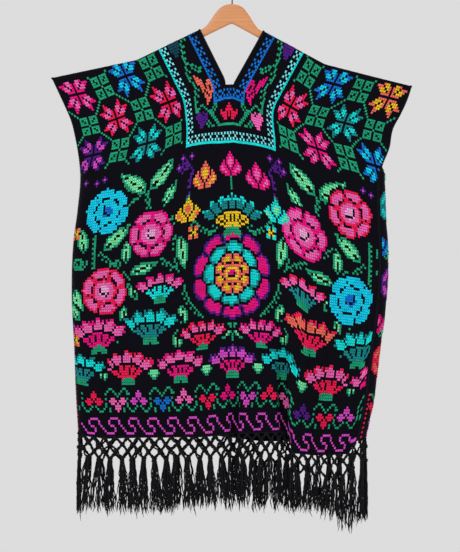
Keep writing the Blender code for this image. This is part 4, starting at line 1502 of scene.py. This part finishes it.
def hanger_hook(finish):
    """The steel hook, with a rounded tip."""
    flat = hook_path()
    ahead = (flat[1] - flat[0]) / np.linalg.norm(flat[1] - flat[0])
    flat = np.concatenate([[flat[0] - ahead * reach for reach in ROD_END_REACH], flat])
    x, z = tilted(flat[:, 0], flat[:, 1])
    path = np.stack([x, np.zeros_like(x), z], axis=-1)[None]
    radii = np.full((1, len(flat)), ROD / 2)
    radii[0, : len(ROD_END_RADII)] = ROD_END_RADII
    joined = Joined()
    tubes(joined, path, radii, ROD_SIDES, np.array([0.0, 1.0, 0.0]))
    return joined.build("hook", [finish])


# Materials


def linear(colour):
    """A colour of 255 as the shader's linear values."""
    share = np.array(colour) / 255.0
    return tuple(np.where(share <= 0.04045, share / 12.92, ((share + 0.055) / 1.055) ** 2.4))


class Shader:
    """A procedural material built from a few nodes."""

    def __init__(self, name, roughness, sheen=0.0, metallic=0.0, coat=0.0, specular=0.5):
        self.material = bpy.data.materials.new(name)
        self.material.use_nodes = True
        self.tree = self.material.node_tree
        self.surface = next(n for n in self.tree.nodes if n.type == "BSDF_PRINCIPLED")
        for socket, value in (
            ("Roughness", roughness),
            ("Metallic", metallic),
            ("Specular IOR Level", specular),
            ("Sheen Weight", sheen),
            ("Sheen Roughness", 0.5),
            ("Coat Weight", coat),
            ("Coat Roughness", 0.25),
        ):
            self.surface.inputs[socket].default_value = value

    def node(self, kind, **settings):
        """A new node. Each setting names one of its properties or, failing that, an input."""
        made = self.tree.nodes.new(kind)
        for key, value in settings.items():
            if hasattr(made, key):
                setattr(made, key, value)
            else:
                made.inputs[key].default_value = value
        return made

    def link(self, source, target):
        self.tree.links.new(source, target)

    def place(self, output, scale, turn):
        """Texture coordinates, scaled by three factors."""
        where = self.node("ShaderNodeTexCoord")
        sized = self.node("ShaderNodeMapping", Scale=scale, Rotation=(0.0, 0.0, turn))
        self.link(where.outputs[output], sized.inputs["Vector"])
        return sized.outputs["Vector"]

    def noise(self, output, scale, detail=3.0):
        place = self.place(output, scale, turn=0.0)
        made = self.node("ShaderNodeTexNoise", Scale=1.0, Detail=detail)
        self.link(place, made.inputs["Vector"])
        return made.outputs["Fac"]

    def waves(self, output, scale, turn=0.0, distortion=0.0, direction="X"):
        place = self.place(output, scale, turn)
        kinds = {"wave_type": "BANDS", "bands_direction": direction, "wave_profile": "SIN"}
        made = self.node("ShaderNodeTexWave", **kinds, Scale=1.0, Distortion=distortion)
        self.link(place, made.inputs["Vector"])
        return made.outputs["Fac"]

    def colour(self, value, stops):
        """Colours the surface by value, with stops of (position, linear colour)."""
        made = self.node("ShaderNodeValToRGB")
        ramp = made.color_ramp
        while len(ramp.elements) < len(stops):
            ramp.elements.new(0.5)
        for element, (position, colour) in zip(ramp.elements, stops):
            element.position = position
            element.color = (*colour, 1.0)
        self.link(value, made.inputs["Fac"])
        self.link(made.outputs["Color"], self.surface.inputs["Base Color"])

    def math(self, operation, a, b):
        made = self.node("ShaderNodeMath", operation=operation)
        for socket, value in zip(made.inputs, (a, b)):
            if isinstance(value, float):
                socket.default_value = value
            else:
                self.link(value, socket)
        return made.outputs["Value"]

    def bump(self, height, distance, strength=1.0):
        made = self.node("ShaderNodeBump", Distance=distance, Strength=strength)
        self.link(height, made.inputs["Height"])
        self.link(made.outputs["Normal"], self.surface.inputs["Normal"])


def shades(colour, low, high):
    base = np.array(linear(colour))
    return tuple(np.clip(base * low, 0.0, 1.0)), tuple(np.clip(base * high + 0.004, 0.0, 1.0))


def thread_finish(name, colour):
    """Twisted embroidery cotton: a soft sheen, slightly uneven dye and the twist as fine slanting ridges."""
    made = Shader(f"thread_{name}", roughness=0.6, sheen=0.03, specular=0.11)
    dark, light = shades(colour, 0.92, 1.2)
    patches = made.noise("Object", (60.0, 60.0, 60.0))
    made.colour(patches, [(0.32, dark), (0.6, light)])
    twist = made.waves("UV", (190.0, 190.0, 1.0), turn=0.7)
    made.bump(twist, 0.00022, 0.8)
    return made.material


def woven_finish():
    """Black plain-woven cotton: fine ridges over and under each other, with lint and faint fading."""
    made = Shader("black_cotton_weave", roughness=0.85, sheen=0.012, specular=0.05)
    warp, weft = (made.waves("UV", (140.0, 140.0, 1.0), direction=way) for way in "XY")
    weave = made.math("MAXIMUM", warp, weft)
    lint = made.noise("UV", (420.0, 420.0, 1.0), detail=5.0)
    made.colour(lint, [(0.34, linear((4, 4, 9))), (0.72, linear((15, 14, 24)))])
    made.bump(made.math("ADD", weave, made.math("MULTIPLY", lint, 0.5)), 0.0003, 0.8)
    return made.material


def yarn_finish(name, low, high):
    """Black twisted cotton yarn, a little browner and greyer where the light catches loose fibres."""
    made = Shader(name, roughness=0.8, sheen=0.015, specular=0.06)
    fibres = made.noise("Object", (260.0, 260.0, 900.0), detail=4.0)
    made.colour(fibres, [(0.3, linear(low)), (0.7, linear(high))])
    twist = made.waves("UV", (150.0, 150.0, 1.0), turn=0.8)
    made.bump(twist, 0.00025, 0.7)
    return made.material


def wood_finish():
    """Light lacquered wood, the grain along the arms."""
    made = Shader("light_wood_grain", roughness=0.42, coat=0.2)
    grain = made.noise("Object", (9.0, 60.0, 150.0), detail=6.0)
    rings = made.waves("Object", (3.0, 20.0, 42.0), distortion=7.0, direction="Z")
    mixed = made.math("ADD", made.math("MULTIPLY", grain, 0.8), made.math("MULTIPLY", rings, 0.2))
    stops = [(0.25, linear((198, 128, 76))), (0.5, linear((206, 137, 85))), (0.8, linear((213, 147, 96)))]
    made.colour(mixed, stops)
    made.bump(grain, 0.00012, 0.5)
    return made.material


def steel_finish():
    """Dark drawn wire with faint lines along and across it."""
    made = Shader("dark_steel_wire", roughness=0.36, metallic=1.0)
    marks = made.noise("Object", (300.0, 300.0, 90.0), detail=5.0)
    made.colour(marks, [(0.3, linear((58, 58, 60))), (0.7, linear((98, 98, 100)))])
    made.bump(marks, 0.00005, 0.4)
    return made.material


def floor_finish():
    made = Shader("pale_floor", roughness=0.7)
    specks = made.noise("Object", (14.0, 14.0, 14.0), detail=5.0)
    made.colour(specks, [(0.3, linear((222, 222, 222))), (0.7, linear((232, 232, 231)))])
    return made.material


# The stage

CAMERA_X = -0.0063
CAMERA_Z = -0.695
CAMERA_AWAY = 6.5
CLOTH_FACE = -0.015
FRAME_HEIGHT = 1.292
FILM = 36.0
FLOOR_Z = -1.75
FLOOR_RADIUS = 1.1
#       name    place                watts  size   aimed at
LAMPS = (
    ("key", (-1.5, -2.9, 0.9), 42.0, 1.6, (0.0, 0.0, -0.65)),
    ("fill", (2.0, -2.6, -0.4), 13.0, 1.8, (0.0, 0.0, -0.7)),
    ("behind", (0.6, 2.8, 0.7), 30.0, 1.8, (0.0, 0.0, -0.65)),
)
WORLD_GREY = 0.72


def build_stage():
    scene = bpy.context.scene
    scene.view_settings.view_transform = "Standard"
    world = bpy.data.worlds.new("studio")
    world.use_nodes = True
    backdrop = next(n for n in world.node_tree.nodes if n.type == "BACKGROUND")
    backdrop.inputs["Color"].default_value = (WORLD_GREY, WORLD_GREY, WORLD_GREY, 1.0)
    backdrop.inputs["Strength"].default_value = 1.0
    scene.world = world

    for name, place, watts, size, target in LAMPS:
        data = bpy.data.lights.new(name, "AREA")
        data.energy = watts
        data.size = size
        lamp = bpy.data.objects.new(name, data)
        lamp.location = place
        aim = Vector(target) - Vector(place)
        lamp.rotation_euler = aim.to_track_quat("-Z", "Y").to_euler()
        scene.collection.objects.link(lamp)

    place = (0, 0, FLOOR_Z)
    bpy.ops.mesh.primitive_circle_add(vertices=96, radius=FLOOR_RADIUS, fill_type="NGON", location=place)
    floor = bpy.context.object
    floor.name = "floor"
    floor.data.materials.append(floor_finish())
    floor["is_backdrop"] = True

    data = bpy.data.cameras.new("camera")
    data.sensor_width = FILM
    data.lens = FILM * CAMERA_AWAY / FRAME_HEIGHT
    camera = bpy.data.objects.new("camera", data)
    camera.location = (CAMERA_X, CLOTH_FACE - CAMERA_AWAY, CAMERA_Z)
    camera.rotation_euler = (math.radians(90.0), 0.0, 0.0)
    scene.collection.objects.link(camera)
    scene.camera = camera


# Rows of the chart that each object of stitches covers
REGIONS = {"yoke": (0, 40), "field": (41, FIELD_FOOT), "hem": (FIELD_FOOT + 1, ROWS - 1)}


def dress(side, cells, finishes, seed):
    """Everything on one side of the cloth, from its weave to its fringe."""
    cloth = Cloth(side)
    shell = woven_shell(f"{side}_cloth", cloth, finishes["weave"])
    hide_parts(f"{side}_panel")
    sewn = edges_of(f"{side}_edges", cloth, finishes["edge"])
    fringe = Fringe(cloth, seed).build(f"{side}_tassels", finishes["yarn"])
    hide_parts(f"{side}_fringe")
    stitched = []
    for number, (name, rows) in enumerate(REGIONS.items()):
        name = f"{side}_{name}_stitches"
        stitched.append(cross_stitches(name, cloth, cells, *rows, finishes["threads"], seed + number))
    for piece in (shell, sewn, *stitched):
        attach(piece, "root")
    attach(fringe, "root")


def main():
    build_stage()
    finishes = {
        "threads": [thread_finish(name, colour) for name, colour in THREADS.items()],
        "weave": woven_finish(),
        "edge": yarn_finish("black_edge_yarn", (10, 10, 16), (30, 30, 40)),
        "yarn": yarn_finish("black_fringe_yarn", (9, 9, 11), (34, 33, 37)),
    }
    wood = hanger_wood(wood_finish())
    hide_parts("hanger_wood")
    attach(wood, "root")
    hook = hanger_hook(steel_finish())
    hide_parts("hanger_hook")
    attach(hook, "root")
    dress("front", draw_front(), finishes, seed=11)
    dress("back", draw_back(), finishes, seed=47)


main()

boxes = {"cad": CAD_BOX, "visual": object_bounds()}
{name: [list(corner) for corner in box] for name, box in boxes.items()}
